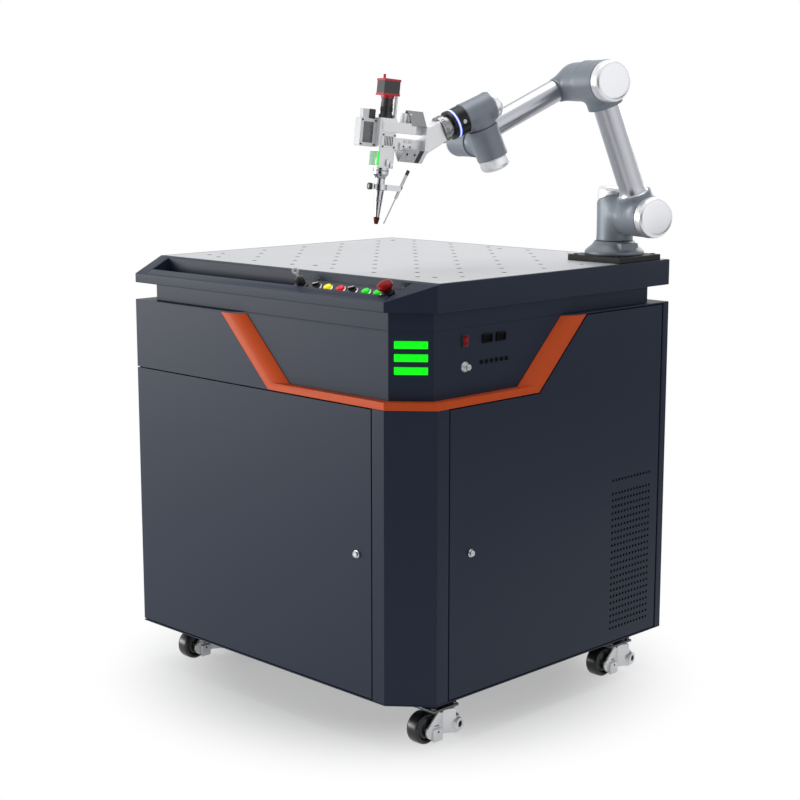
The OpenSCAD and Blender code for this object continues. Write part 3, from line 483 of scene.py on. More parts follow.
rocker_spot = fascia_spot(110, 30)
rocker_frame = bmesh.new()
surround(rocker_frame, rocker_spot, (-10.5, -14.5, 10.5, 14.5), (-7.5, -11.5, 7.5, 11.5), 3, 0.6)
make("rocker_frame", rocker_frame, black_plastic, "cabinet", "black_plastic")
rocker = bmesh.new()
for side in (-1, 1):
    tilt = rocker_spot @ Matrix.Rotation(math.radians(9), 4, "X") if side > 0 else rocker_spot
    block(rocker, tilt, (-7.2, min(0, side * 11.5), -2.0), (7.2, max(0, side * 11.5), 4.0), 0.8)
make("rocker_paddle", rocker, red_plastic, "cabinet", "red_plastic", "power_rocker")

knob_spot = fascia_spot(109, 89)
knob = bmesh.new()
turned(knob, knob_spot, [(0, 0), (12, 0), (12, 2.6), (11, 4), (8, 4), (7.4, 4.6), (5.2, 5.0), (5.2, 8), (6.4, 9),
                         (7, 10.5), (7, 15), (6.2, 16), (3.4, 16), (3.2, 15), (0, 15)], 36)
block(knob, knob_spot, (-0.7, -2.6, 14.6), (0.7, 2.6, 15.6), 0.2)
satin_nickel = powder_coat("satin_nickel", tone(240, 241, 243), tone(226, 227, 230), 0.3,
                           pebble_depth=0.00003, gloss=0.5, metal=0.4)
make("key_switch_knob", knob, satin_nickel, "cabinet", "bright_metal", "key_knob")

sockets = bmesh.new()
for behind in (184, 230):
    spot = fascia_spot(behind, 31)
    surround(sockets, spot, (-16, -10, 16, 10), (-13, -7.2, 13, 7.2), 4, 0.5)
    block(sockets, spot, (-14, -8, -1), (14, 8, 0.8), 0.2)
    for contact in range(5):
        block(sockets, spot, (-9.4 + 4.2 * contact, -4, 0.4), (-7.4 + 4.2 * contact, 4, 2.2), 0.2)
for jack in range(6):
    turned(sockets, fascia_spot(165 + 17.2 * jack, 84), [
        (0, -1), (5.4, -1), (5.4, 1.2), (4.8, 1.8), (3.4, 1.8), (3.0, 1.2), (3.0, 0.2), (0, 0.2)], 24)
make("sunk_sockets", sockets, socket_black, "cabinet", "black_plastic", "fascia_sockets")


# TRAY CONTROLS
# Behind a sloping lip the tray has a folded plate, tilted to the operator. It carries four push buttons
# in plated bezels, two selectors, a key switch with its key and an emergency stop, held by nuts from below.

def extruded(mesh, spot, outline, low, high, edge, segments=2):
    """Adds a bar with a drawn cross-section and rounded edges, between two heights of its spot."""
    made = bmesh.new()
    ends = [[made.verts.new((x, y, z)) for x, y in outline] for z in (low, high)]
    made.faces.new(ends[0])
    made.faces.new(ends[1])
    for k in range(len(outline)):
        made.faces.new((ends[0][k - 1], ends[0][k], ends[1][k], ends[1][k - 1]))
    bmesh.ops.recalc_face_normals(made, faces=made.faces)
    ease_into(mesh, made, spot, edge, segments)


sideways = shop @ Matrix(((0, 0, 1, 0), (1, 0, 0, 0), (0, 1, 0, 0), (0, 0, 0, 1)))
lip_left, lip_right = -457.6, 402.6
tray_lip = bmesh.new()
extruded(tray_lip, sideways, [
    (-462.2, 1035.1), (-455.3, 1035.1), (-455.3, 1025.2), (-438.5, 1025.2), (-438.5, 1046.9)],
    lip_left, lip_right, 0.5)
make("tray_lip", tray_lip, slate_coat, "cabinet", "slate_paint")

grey_plate = powder_coat("grey_control_plate", tone(104, 107, 114), tone(94, 97, 104), 0.45)
plate_left, plate_right = 55, 402
control_plate = bmesh.new()
extruded(control_plate, sideways, [
    (-438.2, 1025.2), (-386.8, 1025.2), (-386.8, 1056.2), (-438.2, 1026.5)], plate_left, plate_right, 0.4)
make("control_plate", control_plate, grey_plate, "cabinet", "slate_paint")


plate_y, plate_z = -412.5, 1041.4
plate_tilt = Matrix.Rotation(math.radians(30), 4, "X")
selectors = (359, 238)
selector_turn = Matrix.Rotation(math.radians(30), 4, "Z")


def tray_spot(from_right):
    """A spot on the tilted plate, at a distance from the cabinet's right side."""
    return standing(cabinet_right - from_right, plate_y, plate_z) @ plate_tilt


bezels = bmesh.new()
for from_right in (321, 278, 195, 157, *selectors):
    turned(bezels, tray_spot(from_right), [
        (0, -1), (14, -1), (14, 3.2), (13, 5), (11.6, 5.4), (11, 4.8), (0, 4.8)], 32)
make("button_bezels", bezels, bright_metal, "cabinet", "bright_metal", "tray_push_buttons")
for name, places, bright, dull in (
    ("yellow_lens", (321,), tone(250, 236, 10), tone(232, 212, 6)),
    ("red_lens", (278,), tone(224, 14, 20), tone(196, 6, 12)),
    ("green_lenses", (195, 157), tone(20, 224, 30), tone(10, 196, 18)),
):
    lens_shape = bmesh.new()
    for from_right in places:
        turned(lens_shape, tray_spot(from_right), [
            (0, 4.2), (9.8, 4.2), (9.8, 8.6), (9.0, 10.6), (6.4, 11.7), (0, 12)], 28)
    make(name, lens_shape, glow(name + "_glow", bright, dull, dull, strength=0.6), "cabinet", "button_lens")

switches = bmesh.new()
for from_right in selectors:
    spot = tray_spot(from_right)
    turned(switches, spot, [(0, 4.2), (10, 4.2), (10, 9), (9.2, 10), (0, 10)], 28)
    block(switches, spot @ selector_turn, (-8, -3, 9), (8, 3, 16), 1.2)
key_spot = tray_spot(411)
turned(switches, key_spot, [(0, -1), (14, -1), (14, 4), (12.6, 5.4), (11, 6), (11, 26), (10, 28), (0, 28)], 32)
make("switch_bodies", switches, black_plastic, "cabinet", "black_plastic", "tray_switches")

white_plastic = moulded("white_plastic", tone(236, 236, 232), tone(222, 222, 218), 0.4)
pointers = bmesh.new()
for from_right in selectors:
    block(pointers, tray_spot(from_right) @ selector_turn, (-7.6, -1.6, 15), (7.6, 1.6, 16.4), 0.4)
make("switch_pointers", pointers, white_plastic, "cabinet", "black_plastic")

key = bmesh.new()
blade = key_spot @ Matrix.Rotation(math.radians(45), 4, "Z") @ Matrix.Rotation(math.radians(90), 4, "X")
block(key, blade, (-3, 26, -1.2), (3, 39, 1.2), 0.4)
turned(key, blade @ Matrix.Translation((0, 44, 0)), [
    (3.5, -1.5), (8.0, -1.5), (8.5, -1.0), (8.5, 1.0), (8.0, 1.5), (3.5, 1.5)], 28, ring=True)
make("switch_key", key, white_plastic, "cabinet", "bright_metal")

stop_spot = tray_spot(122)
stop_foot = bmesh.new()
turned(stop_foot, stop_spot, [(0, -1), (15, -1), (15, 12), (14, 14.5), (11.5, 15), (11.5, 22), (0, 22)], 36)
make("stop_foot", stop_foot, black_plastic, "cabinet", "black_plastic")
stop_head = bmesh.new()
turned(stop_head, stop_spot, [(0, 20), (12, 20), (14, 21.5), (18.2, 27), (19, 29.5), (18.6, 32), (17, 35),
                              (13, 37.6), (7, 38.8), (0, 39)], 40)
make("stop_mushroom", stop_head, red_plastic, "cabinet", "red_plastic", "emergency_stop")

# Two dark rimmed discs on the tray's back wall.
wall_dark_discs = bmesh.new()
for x in (120, 399):
    turned(wall_dark_discs, facing(x, -386.3, 1056, (0, -1, 0)), [
        (0, -1), (8, -1), (8, 0.6), (7.2, 1), (6, 1), (6, -0.5), (0, -0.5)], 24)
make("tray_wall_dark_discs", wall_dark_discs, black_plastic, "cabinet", "black_plastic")


# CASTORS
# Four levelling castors. A cast, silver painted housing holds a black nylon wheel between two cheeks and
# flares at its back round the levelling screw. It turns under a plate that is bolted to the base frame.
castor_alloy = powder_coat("castor_alloy", tone(246, 247, 248), tone(236, 237, 238), 0.34,
                           pebble_depth=0.0001, gloss=0.5, metal=0.35)
plate_metal = satin_metal("castor_plate_zinc", tone(104, 106, 110), tone(84, 86, 90), 0.42)

wheel_nylon, tyre, tyre_place = finish("wheel_nylon", {"Specular IOR Level": 0.5})
scuff = speckle(tyre_place, 160.0, 5.0)
scuff.blend(tone(20, 20, 21), tone(36, 36, 38)).into(tyre["Base Color"])
(0.2 + scuff * 0.2).into(tyre["Roughness"])
scuff.node("Bump", {}, {"Strength": 0.12, "Distance": 0.0001, "Height": scuff}).into(tyre["Normal"])

castor_x, castor_y, castor_middle = 430, 330, 8
trail, wheel_radius, wheel_width = 36, 38, 36
cheek_in, cheek_out = 20, 26
wheel_outline = [(5.1, 2), (9, 2), (10, 3.5), (24, 5.5), (27, 3), (30, 0.6), (33, 0), (35.4, 1.2), (37.2, 3.8),
                 (wheel_radius, 8)]
wheel_outline += [(r, wheel_width - h) for r, h in reversed(wheel_outline)]
cheek_outline = [(-5, 77), (-38, 46), (-47, 40), (-49, 30), (-44, 19), (-34, 12), (-4, 10), (8, 17), (8, 77)]
flare_outline = [(-26, 4), (26, 4), (41.5, 35), (-41.5, 35)]
tail_outline = [(41, 30), (40, 46), (30, 57), (-30, 57), (-40, 46), (-41, 30)]


def level(spot, x, y, z, way=1):
    """A spot at a place from another one, with its Z level, to the right or to the left."""
    return spot @ Matrix.Translation((x, y, z)) @ Matrix.Rotation(math.radians(90 * way), 4, "Y")


top_plates = bmesh.new()
for i, hand in ((-1, "left"), (1, "right")):
    for j, end in ((-1, "front"), (1, "rear")):
        corner = end + "_" + hand
        swivel = standing(castor_x * i, castor_middle + castor_y * j, 0)
        endways = swivel @ sideways.normalized()
        housing = bmesh.new()
        screws_and_shade_strips = bmesh.new()
        for side in (-1, 1):
            cheek_ends = sorted((cheek_in * side, cheek_out * side))
            extruded(housing, endways, cheek_outline, *cheek_ends, 1.6, 3)
            block(housing, swivel, (29 * side - 4, -31, 6), (29 * side + 4, -1, 37), 2.6, 3)
            turned(housing, level(swivel, 25 * side, -trail, wheel_radius, side), [
                (0, 0), (9, 0), (9, 2.4), (8, 3.2), (0, 3.4)], 24)
            turned(screws_and_shade_strips, level(swivel, 32 * side, -16, 29, side), [
                (0, 0), (2.6, 0), (2.6, 1.2), (2.2, 1.5), (0, 1.5)], 16)
            # A thin black strip on each cheek above the side boss is a painted shadow line over the boss's top.
            block(screws_and_shade_strips, swivel, (25.2 * side - 1, -22, 41), (25.2 * side + 1, -8, 43.6), 0.6)
        extruded(housing, swivel, flare_outline, 17, 77, 3.0, 3)
        extruded(housing, swivel, tail_outline, 15, 56, 4.0, 3)
        block(housing, swivel, (-26, -5, 69), (26, 10, 77), 1.2)
        boss_turn = Matrix.Translation((17, 37, 37)) @ Matrix.Rotation(math.radians(10), 4, "Z")
        screw_boss = level(swivel @ boss_turn, 0, 0, 0)
        turned(housing, screw_boss, [
            (0, 0), (16, 0), (16, 27), (15, 29.4), (13, 30.4), (8.4, 30.4), (8, 29.8), (8, 22), (0, 22)], 36)
        turned(screws_and_shade_strips, screw_boss, [(0, 20), (7, 20), (7, 28.6), (6.2, 29.6), (0, 29.6)], 6)
        wheel = bmesh.new()
        turned(wheel, level(swivel, -wheel_width / 2, -trail, wheel_radius), wheel_outline, 48, ring=True)
        turning = "caster_" + corner
        make("castor_wheel_" + corner, wheel, wheel_nylon, "wheel_" + corner, "wheel_nylon", "caster_wheel_" + corner)
        make("castor_housing_" + corner, housing, castor_alloy, turning, "castor_alloy", "caster_fork_" + corner)
        make("castor_screws_and_shade_strips_" + corner, screws_and_shade_strips, socket_black, turning, "black_plastic")
        turned(top_plates, swivel, [(0, 79), (30, 79), (30, 82), (0, 82)], 40)
        block(top_plates, swivel, (-42, -42, 81.5), (42, 42, 87.5), 0.8)
        block(top_plates, swivel, (-25, -25, 87), (25, 25, 111), 0.8)
        for x in (-34, 34):
            for y in (-34, 34):
                seat = swivel @ Matrix.Translation((x, y, 87.5))
                turned(top_plates, seat, [(0, -1), (6, -1), (6, 4), (5.2, 4.8), (0, 4.8)], 6)
make("castor_top_plates", top_plates, plate_metal, "cabinet", "bright_metal", "caster_plates")


# ARM CASTINGS
# The base, the joint housings and the wrist are die-cast aluminium in blue-grey satin paint. Each
# housing flows into its collar in one casting, and meets the next at a thin machined seam.
arm_spot = standing(riser_x, riser_y, riser_top) @ Matrix.Rotation(math.radians(251), 4, "Z")


def leaning(degrees):
    """The direction in the arm's plane that leans so far from upright."""
    return Vector((math.sin(math.radians(degrees)), 0, math.cos(math.radians(degrees))))


def along(at, side, lean):
    """A spot on the arm with its Z along a lean from upright, at an offset to the side."""
    return arm_spot @ Matrix.Translation((at.x, side, at.z)) @ Matrix.Rotation(math.radians(lean), 4, "Y")


def across(at, side, way=1):
    """A spot on the arm with its Z along the joint axes."""
    return arm_spot @ Matrix.Translation((at.x, side, at.z)) @ Matrix.Rotation(math.radians(-90 * way), 4, "X")


upper_lean, fore_lean, wrist_lean, tool_lean = 22, 116, 23, 113
upper_side, fore_side, tool_side = 112, -12, 92
upper_link, fore_link, wrist_link, tool_link = 348, 320, 74, 105
base = Vector((0, 0, 0))
shoulder = Vector((0, 0, 101))
elbow = shoulder + upper_link * leaning(upper_lean)
wrist = elbow + fore_link * leaning(fore_lean)
wrist_5 = wrist + Vector((0, tool_side, 0))
wrist_6 = wrist_5 + wrist_link * leaning(wrist_lean)
flange = wrist_6 + tool_link * leaning(tool_lean)

upper_foot, upper_head, fore_foot, fore_end = 60, 62, 48, 60
wrist_barrel, tool_barrel = 37, 39
joint_face, wrist_face, joint_gap = 68, 40, 0.3
cover_seat, fore_cover_seat = 155.5, -44
base_seam = along(Vector((0, 0, 34)), 0, 0)
crown = along(Vector((0, 0, 139)), 0, 0) @ Matrix.Rotation(math.radians(20), 4, "X")
upper_tube_foot = along(shoulder + upper_foot * leaning(upper_lean), upper_side, upper_lean)
upper_tube_head = along(elbow - upper_head * leaning(upper_lean), upper_side, upper_lean)
fore_tube_foot = along(elbow + fore_foot * leaning(fore_lean), fore_side, fore_lean)
fore_tube_end = along(wrist - fore_end * leaning(fore_lean), fore_side, fore_lean)
wrist_low = along(wrist_5 - wrist_barrel * leaning(wrist_lean), tool_side, wrist_lean)
wrist_high = along(wrist_5 + wrist_barrel * leaning(wrist_lean), tool_side, wrist_lean)
tool_back = along(wrist_6 - wrist_barrel * leaning(tool_lean), tool_side, tool_lean)
tool_front = along(wrist_6 + tool_barrel * leaning(tool_lean), tool_side, tool_lean)


def cast(name, node, seams, material, body, slot, grid, passes):
    """Melts a solid's inner corners into fillets, and keeps its edges crisp at the seams."""
    rough = spare_piece(solids[node].data.copy())
    join_corners(rough)
    skin = rough.modifiers.new("skin", "REMESH")
    skin.mode = "VOXEL"
    skin.voxel_size = grid / 1000
    mesh = settled(rough)
    count = len(mesh.vertices)
    points = np.empty(count * 3)
    mesh.vertices.foreach_get("co", points)
    points = points.reshape(-1, 3)
    ends = np.empty(len(mesh.edges) * 2, int)
    mesh.edges.foreach_get("vertices", ends)
    ends = ends.reshape(-1, 2)
    near = np.full(count, 1e9)
    for seam in seams:
        out = np.array(seam.col[2].xyz.normalized())
        near = np.minimum(near, np.abs((points - np.array(seam.translation)) @ out) * 1000)
    melt = 0.5 * np.clip((near - 2.5) / 9, 0, 1)
    meets = np.bincount(ends.ravel(), minlength=count)
    for turn in range(passes):
        pull = np.full(count, 0.4) if turn < 2 else melt
        around = np.stack([
            np.bincount(ends[:, 0], points[ends[:, 1], k], count)
            + np.bincount(ends[:, 1], points[ends[:, 0], k], count)
            for k in range(3)], axis=1) / meets[:, None]
        points += pull[:, None] * (around - points)
    mesh.vertices.foreach_set("co", points.ravel())
    smooth = bmesh.new()
    smooth.from_mesh(mesh)
    bmesh.ops.dissolve_degenerate(smooth, dist=0.00001, edges=smooth.edges)
    smooth.to_mesh(mesh)
    smooth.free()
    mesh.shade_smooth()
    fit(name, mesh, material, body, slot, node)


arm_paint = powder_coat("arm_blue_grey_paint", tone(134, 141, 149), tone(125, 132, 141), 0.42,
                        pebble_depth=0.00006, gloss=0.35, metal=0.25)
for name, node, body, seams, grid, passes in (
    ("base_casting", "arm_base", "cabinet", (along(base, 0, 0), base_seam), 1.8, 12),
    ("shoulder_casting", "shoulder_housing", "shoulder",
     (base_seam, crown, across(base, joint_face - joint_gap)), 2.2, 120),
    ("upper_arm_foot_casting", "upper_arm_shoulder_housing", "upper_arm",
     (across(base, joint_face), across(base, cover_seat), upper_tube_foot), 2.2, 120),
    ("upper_arm_head_casting", "upper_arm_elbow_housing", "upper_arm",
     (across(base, joint_face), across(base, cover_seat), upper_tube_head), 2.2, 120),
    ("elbow_casting", "forearm_elbow_housing", "forearm",
     (across(base, joint_face - joint_gap), fore_tube_foot), 2.2, 120),
    ("forearm_end_casting", "forearm_wrist_housing", "forearm",
     (across(base, fore_cover_seat), across(base, wrist_face - joint_gap), fore_tube_end), 1.8, 120),
    ("wrist_elbow_casting", "wrist_1_housing", "wrist_1",
     (across(base, wrist_face), wrist_low, wrist_high), 1.8, 120),
    ("tool_barrel_casting", "wrist_2_housing", "wrist_2", (wrist_high, tool_back, tool_front), 1.8, 120),
):
    cast(name, node, seams, arm_paint, body, "arm_casting", grid, passes)


# ARM COVERS
# Every joint ends in a pressed aluminium cover with a soft rim and a flat face, painted silver and
# snapped on over a seal.
silver_cover = powder_coat("silver_cover_paint", tone(236, 237, 240), tone(229, 230, 233), 0.32,
                           pebble_depth=0.00004, gloss=0.5, metal=0.75)


def cover(mesh, spot, r, h, rim):
    """A cover that stands on its open end, with a shadow gap at its foot."""
    outline = [(0, 0.4), (r - 1.4, 0.4), (r - 1.4, 1.4), (r, 1.9), (r, h - rim)]
    for k in range(1, 10):
        turn = math.radians(10 * k)
        outline.append((r - rim + rim * math.cos(turn), h - rim + rim * math.sin(turn)))
    turned(mesh, spot, outline + [(0, h)], 64)


turned_back = Matrix.Rotation(math.radians(180), 4, "Y")
for name, body, node, spots, size in (
    ("upper_arm_covers", "upper_arm", "upper_arm_caps",
     (across(shoulder, cover_seat), across(elbow, cover_seat)), (49.5, 28.5, 12)),
    ("forearm_cover", "forearm", "forearm_cap", (across(wrist, fore_cover_seat, -1),), (35.5, 16, 11)),
    ("wrist_low_cover", "wrist_1", "wrist_1_cap", (wrist_low @ turned_back,), (35.5, 29, 12)),
    ("tool_back_cover", "wrist_2", "wrist_2_cap", (tool_back @ turned_back,), (34, 20, 12)),
):
    covers = bmesh.new()
    for spot in spots:
        cover(covers, spot, *size)
    make(name, covers, silver_cover, body, "silver_cover", node)
cast("column_cover", "shoulder_cap", (crown,), silver_cover, "shoulder", "silver_cover",
     grid=1.6, passes=20)


# ARM TUBES
# The two links are drawn aluminium tubes, satin anodised, pressed into their castings. The upper one
# flares where it stands on the shoulder.
satin_tube = satin_metal("satin_anodised_tube", tone(180, 182, 188), tone(172, 174, 180), 0.3,
                         stretch=(200.0, 200.0, 20.0))
upper_radius, flare_width, flare_height = 31, 7, 24
length = upper_link - upper_foot - upper_head
flare = [(upper_radius + flare_width * (1 - math.sin(math.radians(9 * k))),
          flare_height * (1 - math.cos(math.radians(9 * k)))) for k in range(11)]
upper_tube = bmesh.new()
turned(upper_tube, upper_tube_foot, [(0, 0)] + flare + [(upper_radius, length), (0, length)], 72)
make("upper_tube", upper_tube, satin_tube, "upper_arm", "satin_tube", "upper_arm_tube")
fore_tube = bmesh.new()
length = fore_link - fore_foot - fore_end
turned(fore_tube, fore_tube_foot, [
    (0, 0), (27, 0), (27.5, 0.6), (27.5, length - 0.6), (27, length), (0, length)], 72)
make("fore_tube", fore_tube, satin_tube, "forearm", "satin_tube", "forearm_tube")


# STATUS RING AND FLANGE
# A black collar at the wrist holds a ring of light behind a clear band, with a teach button on its
# side. The steel tool flange turns in it, drilled and tapped for the head's adapter.
collar_black = moulded("collar_black", tone(16, 16, 19), tone(10, 10, 12), 0.3, gloss=0.25)
dress("status_collar", collar_black, 0.5)

ring_light, ring, ring_place = finish("blue_ring_glow", {
    "Base Color": tone(190, 205, 255), "Roughness": 0.25, "Emission Strength": 1.0})
button_reach, ring_reach, collar_radius = 52, 67, 34
tool_axis = (arm_spot.to_3x3() @ leaning(tool_lean)).normalized()
ring_middle = along(wrist_6 + ring_reach * leaning(tool_lean), tool_side, tool_lean).translation
along_tool = ring_place.node("VectorMath", {"operation": "DOT_PRODUCT"}, {0: ring_place, 1: tool_axis}, 1)
off_middle = abs(along_tool - ring_middle.dot(tool_axis))
off_middle.node("MapRange", {}, {"Value": off_middle, 1: 0.0004, 2: 0.0018}).blend(
    (0.8, 0.9, 1.0, 1.0), (0.01, 0.05, 0.9, 1.0)).into(ring["Emission Color"])
dress("light_ring", ring_light)

teach_button = bmesh.new()
button_spot = (along(wrist_6 + button_reach * leaning(tool_lean), tool_side, tool_lean)
               @ Matrix.Translation((0, collar_radius, 0)) @ Matrix.Rotation(math.radians(-90), 4, "X"))
turned(teach_button, button_spot, [
    (0, -2), (4.6, -2), (4.6, 0.6), (4.0, 1.0), (0, 1.2)], 24)
make("teach_button", teach_button, white_plastic, "wrist_2", "white_alloy")

flange_steel = satin_metal("turned_flange_steel", tone(152, 152, 154), tone(118, 118, 120), 0.26)
dress("tool_flange", flange_steel, 0.8)
flange_radius, grub_drop = 31.2, 7
grub_screws = bmesh.new()
for k in range(8):
    turn = Matrix.Rotation(math.tau * k / 8, 4, "Z")
    seat = level(along(flange, tool_side, tool_lean) @ turn, flange_radius, 0, -grub_drop)
    turned(grub_screws, seat, [(0, -2), (4.0, -2), (4.0, 0.2), (3.6, 0.3), (2.6, 0.3), (2.6, -1.6), (0, -1.6)], 16)
make("flange_grub_screws", grub_screws, socket_black, "laser_head", "steel_flange")


# HEAD BRACKET
# Milled aluminium plates, satin white, bolt the laser head to the flange. Sloping cheeks stiffen the
# back plate, dark above and pale below, and small blocks and posts clamp the head's body.
head_lean = -6
tip_reach, tip_drop = 138, 224
head_spot = along(flange, tool_side, head_lean) @ Matrix.Translation((tip_reach, 0, -tip_drop))


def outward(n, u, a):
    """A spot on the head, so far forward, aside and up from the nozzle's tip, that faces aside."""
    return head_spot @ Matrix.Translation((n, u, a)) @ Matrix.Rotation(math.radians(-90), 4, "X")


def upward(n, u, a):
    """A spot on the head, measured in the same way, that faces up along it."""
    return head_spot @ Matrix.Translation((n, u, a))


white_alloy = powder_coat("white_alloy", tone(250, 250, 251), tone(242, 242, 243), 0.38,
                          pebble_depth=0.00004, gloss=0.5, metal=0.3)
dress("tool_adapter", white_alloy, 2.0, segments=3)
dress("head_bracket", white_alloy, 0.8)

cheek_alloy, cheek, cheek_place = finish("cheek_alloy", {"Metallic": 0.4})
head_up = (head_spot.to_3x3() @ Vector((0, 0, 1))).normalized()
cheek_level = (head_spot @ Vector((0, 0, 200))).dot(head_up)
up_head = cheek_place.node("VectorMath", {"operation": "DOT_PRODUCT"}, {0: cheek_place, 1: head_up}, 1)
is_upper = up_head > cheek_level
milled_along = cheek_place.node("Mapping", {}, {"Vector": cheek_place, "Scale": (80.0, 80.0, 700.0)})
milled = speckle(milled_along, 3.0, 3.0)
milled.blend(is_upper.blend(tone(196, 197, 199), tone(112, 113, 115)),
             is_upper.blend(tone(214, 215, 217), tone(132, 133, 135))).into(cheek["Base Color"])
(0.36 + milled * 0.12).into(cheek["Roughness"])
dress("bracket_cheeks", cheek_alloy, 0.7)

black_alloy = moulded("black_anodised_alloy", tone(50, 51, 53), tone(40, 40, 42), 0.34)
cheek_slope = math.atan2(29, 27)
cheek_edges = bmesh.new()
for side in (-1, 1):
    slope = Matrix.Rotation(side * cheek_slope, 4, "X") @ Matrix.Scale(side, 4, (0, 1, 0))
    block(cheek_edges, upward(-89, side * 6, 145) @ slope, (0.5, 1, -0.8), (11, 38, 0.2), 0.3)
make("cheek_black_edges", cheek_edges, black_alloy, "laser_head", "black_alloy")

clamp_blocks = bmesh.new()
block(clamp_blocks, head_spot, (-66, 14, 171), (-32, 20, 187), 1.0)
for n in (-47, -60):
    turned(clamp_blocks, upward(n, 12, 187), [(0, -1), (5, -1), (5, 6.5), (4.2, 7.5), (0, 7.5)], 24)
for n in (-43, -56):
    turned(clamp_blocks, upward(n, 9, 231), [
        (0, -2), (5.5, -2), (5.5, 20), (4.6, 22), (2.4, 22), (2.4, 19), (0, 19)], 24)
make("clamp_blocks", clamp_blocks, white_alloy, "laser_head", "white_alloy")


# LASER HEAD
# The head is a machined aluminium housing in white, with a vented side plate, a drawer for its cover
# glass, a green safety glass and a camera on top of a black lens barrel. Small dark screws hold it all.
dress("head_body", white_alloy, 0.8)
grey_alloy = powder_coat("grey_anodised_alloy", tone(222, 223, 225), tone(208, 209, 212), 0.38,
                         pebble_depth=0.00004, gloss=0.5, metal=0.3)
dress("lens_drawer", grey_alloy, 0.9)
dress("camera_body", black_alloy, 0.8)
red_alloy = moulded("red_anodised_alloy", tone(214, 34, 58), tone(190, 22, 44), 0.3)
dress("camera_plates", red_alloy, 0.8)

vent_plate = bmesh.new()
surround(vent_plate, outward(0, 22, 0), (-18, -203, 15, -172), (-11.6, -198, 9.6, -177), 1.6, 0.3)
for slat in range(5):
    n = -8.4 + 3.9 * slat
    block(vent_plate, head_spot, (n - 0.9, 22, 176), (n + 0.9, 23.4, 199), 0.3)
make("vent_plate", vent_plate, white_alloy, "laser_head", "white_alloy")

dark_parts = bmesh.new()
# The dark sheet behind the vent slats is painted shade for the inside of the vents.
block(dark_parts, head_spot, (-12.5, 21.6, 175), (10.5, 22.4, 200), 0.1)
block(dark_parts, head_spot, (23.6, -24.6, 234), (39, -5.4, 255.4), 0.8)
for groove in range(3):
    a = 238 + 5.5 * groove
    block(dark_parts, head_spot, (23.2, -25, a), (39.4, -5, a + 2.5), 0.4)
lens_barrel = upward(0, 0, 238)
turned(dark_parts, lens_barrel, [(13, 8), (13.8, 8.6), (13.8, 13), (13.2, 13.6), (13.2, 26), (13.9, 26.6),
                                 (13.9, 34), (13.3, 34.6), (13.3, 42), (13, 42.4)], 40, ring=True)
for rib in range(24):
    turn = Matrix.Rotation(math.tau * rib / 24, 4, "Z")
    block(dark_parts, lens_barrel @ turn, (13.4, -0.6, 15), (14.3, 0.6, 25), 0.2)
make("head_dark_parts", dark_parts, black_alloy, "laser_head", "black_alloy")

glass, pane, pane_place = finish("drawer_window", {"Coat Weight": 0.6, "Coat Roughness": 0.05})
smear = speckle(pane_place, 40.0, 3.0)
smear.blend(tone(92, 92, 94), tone(112, 112, 114)).into(pane["Base Color"])
(0.18 + smear * 0.15).into(pane["Roughness"])
window = bmesh.new()
block(window, head_spot, (28.4, -2.4, 180.4), (51.6, -0.7, 225.6), 0.4)
make("drawer_pane", window, glass, "laser_head", "grey_alloy")

green_glass, tint, tint_place = finish("green_safety_glass", {"Specular IOR Level": 0.3, "Coat Weight": 0.2})
streak = speckle(tint_place, 60.0, 2.0)
streak.blend(tone(140, 196, 150), tone(156, 206, 164)).into(tint["Base Color"])
(0.12 + streak * 0.12).into(tint["Roughness"])
safety_glass = bmesh.new()
block(safety_glass, head_spot, (20, -20, 131), (22.2, 19, 163), 0.5)
make("safety_glass", safety_glass, green_glass, "laser_head", "white_alloy")
# No lamp sits behind the safety glass's edge; its green glow is painted light.
painted_edge_glow = glow("painted_green_edge_glow", (0.02, 0.95, 0.05, 1.0), (0.05, 0.75, 0.08, 1.0), tone(30, 180, 40),
                strength=0.8)
glass_edge = bmesh.new()
block(glass_edge, head_spot, (18.6, 19, 132), (22.4, 22.6, 162), 0.6)
make("safety_glass_edge", glass_edge, painted_edge_glow, "laser_head", "green_light")

vent_plate_screws = [(n, 23.6, a) for n in (-15.5, 12.6) for a in (174.4, 200.6)]
drawer_screws = [(n, 0, a) for n in (24, 56) for a in (176, 230)]
clamp_screws = [(-41, 20, 179), (-57, 20, 179)]
head_screws = bmesh.new()
for n, u, a in vent_plate_screws + drawer_screws + clamp_screws:
    cap_screw(head_screws, outward(n, u, a), width=4.2, height=1.6)
for n in (-51, -70):
    seat = upward(n, 22.5, 162.5) @ Matrix.Rotation(math.radians(-133), 4, "X")
    cap_screw(head_screws, seat, width=4.6, height=1.8)
make("head_screws", head_screws, black_alloy, "laser_head", "black_alloy")

knobs = bmesh.new()
block(knobs, head_spot, (-7, 21, 131), (1, 27, 146), 1.0)
block(knobs, head_spot, (-17, 21, 128), (-9, 26, 141), 1.0)
turned(knobs, upward(-15, 15, 238), [(3.1, 2), (3.6, 2), (3.6, 47), (3.1, 47)], 20, ring=True)
make("head_knobs", knobs, bright_metal, "laser_head", "bright_metal")


# NOZZLE AND WIRE GUIDE
# The nozzle is turned from bright steel, with a copper tip blackened by heat. A clamp on it holds the
# wire guide, locked by a knurled black thumbscrew.
nozzle_metal = satin_metal("turned_nozzle", tone(204, 205, 208), tone(172, 173, 176), 0.22)
dress("nozzle", nozzle_metal, 0.4)
dress("wire_guide", nozzle_metal, 0.5)
heated, tip, tip_place = finish("heated_copper", {"Metallic": 0.7})
soot = speckle(tip_place, 420.0, 4.0)
soot.blend(tone(58, 14, 16), tone(104, 32, 30)).into(tip["Base Color"])
(0.35 + soot * 0.25).into(tip["Roughness"])
tip_shape = bmesh.new()
turned(tip_shape, head_spot, [
    (1.4, 0.0), (3.4, 0.0), (4.4, 1.0), (6.9, 12.5), (6.9, 15.5), (6.2, 16.2), (1.4, 16.2)], 32, ring=True)
make("nozzle_tip", tip_shape, heated, "laser_head", "steel_flange")
nozzle_rings = bmesh.new()
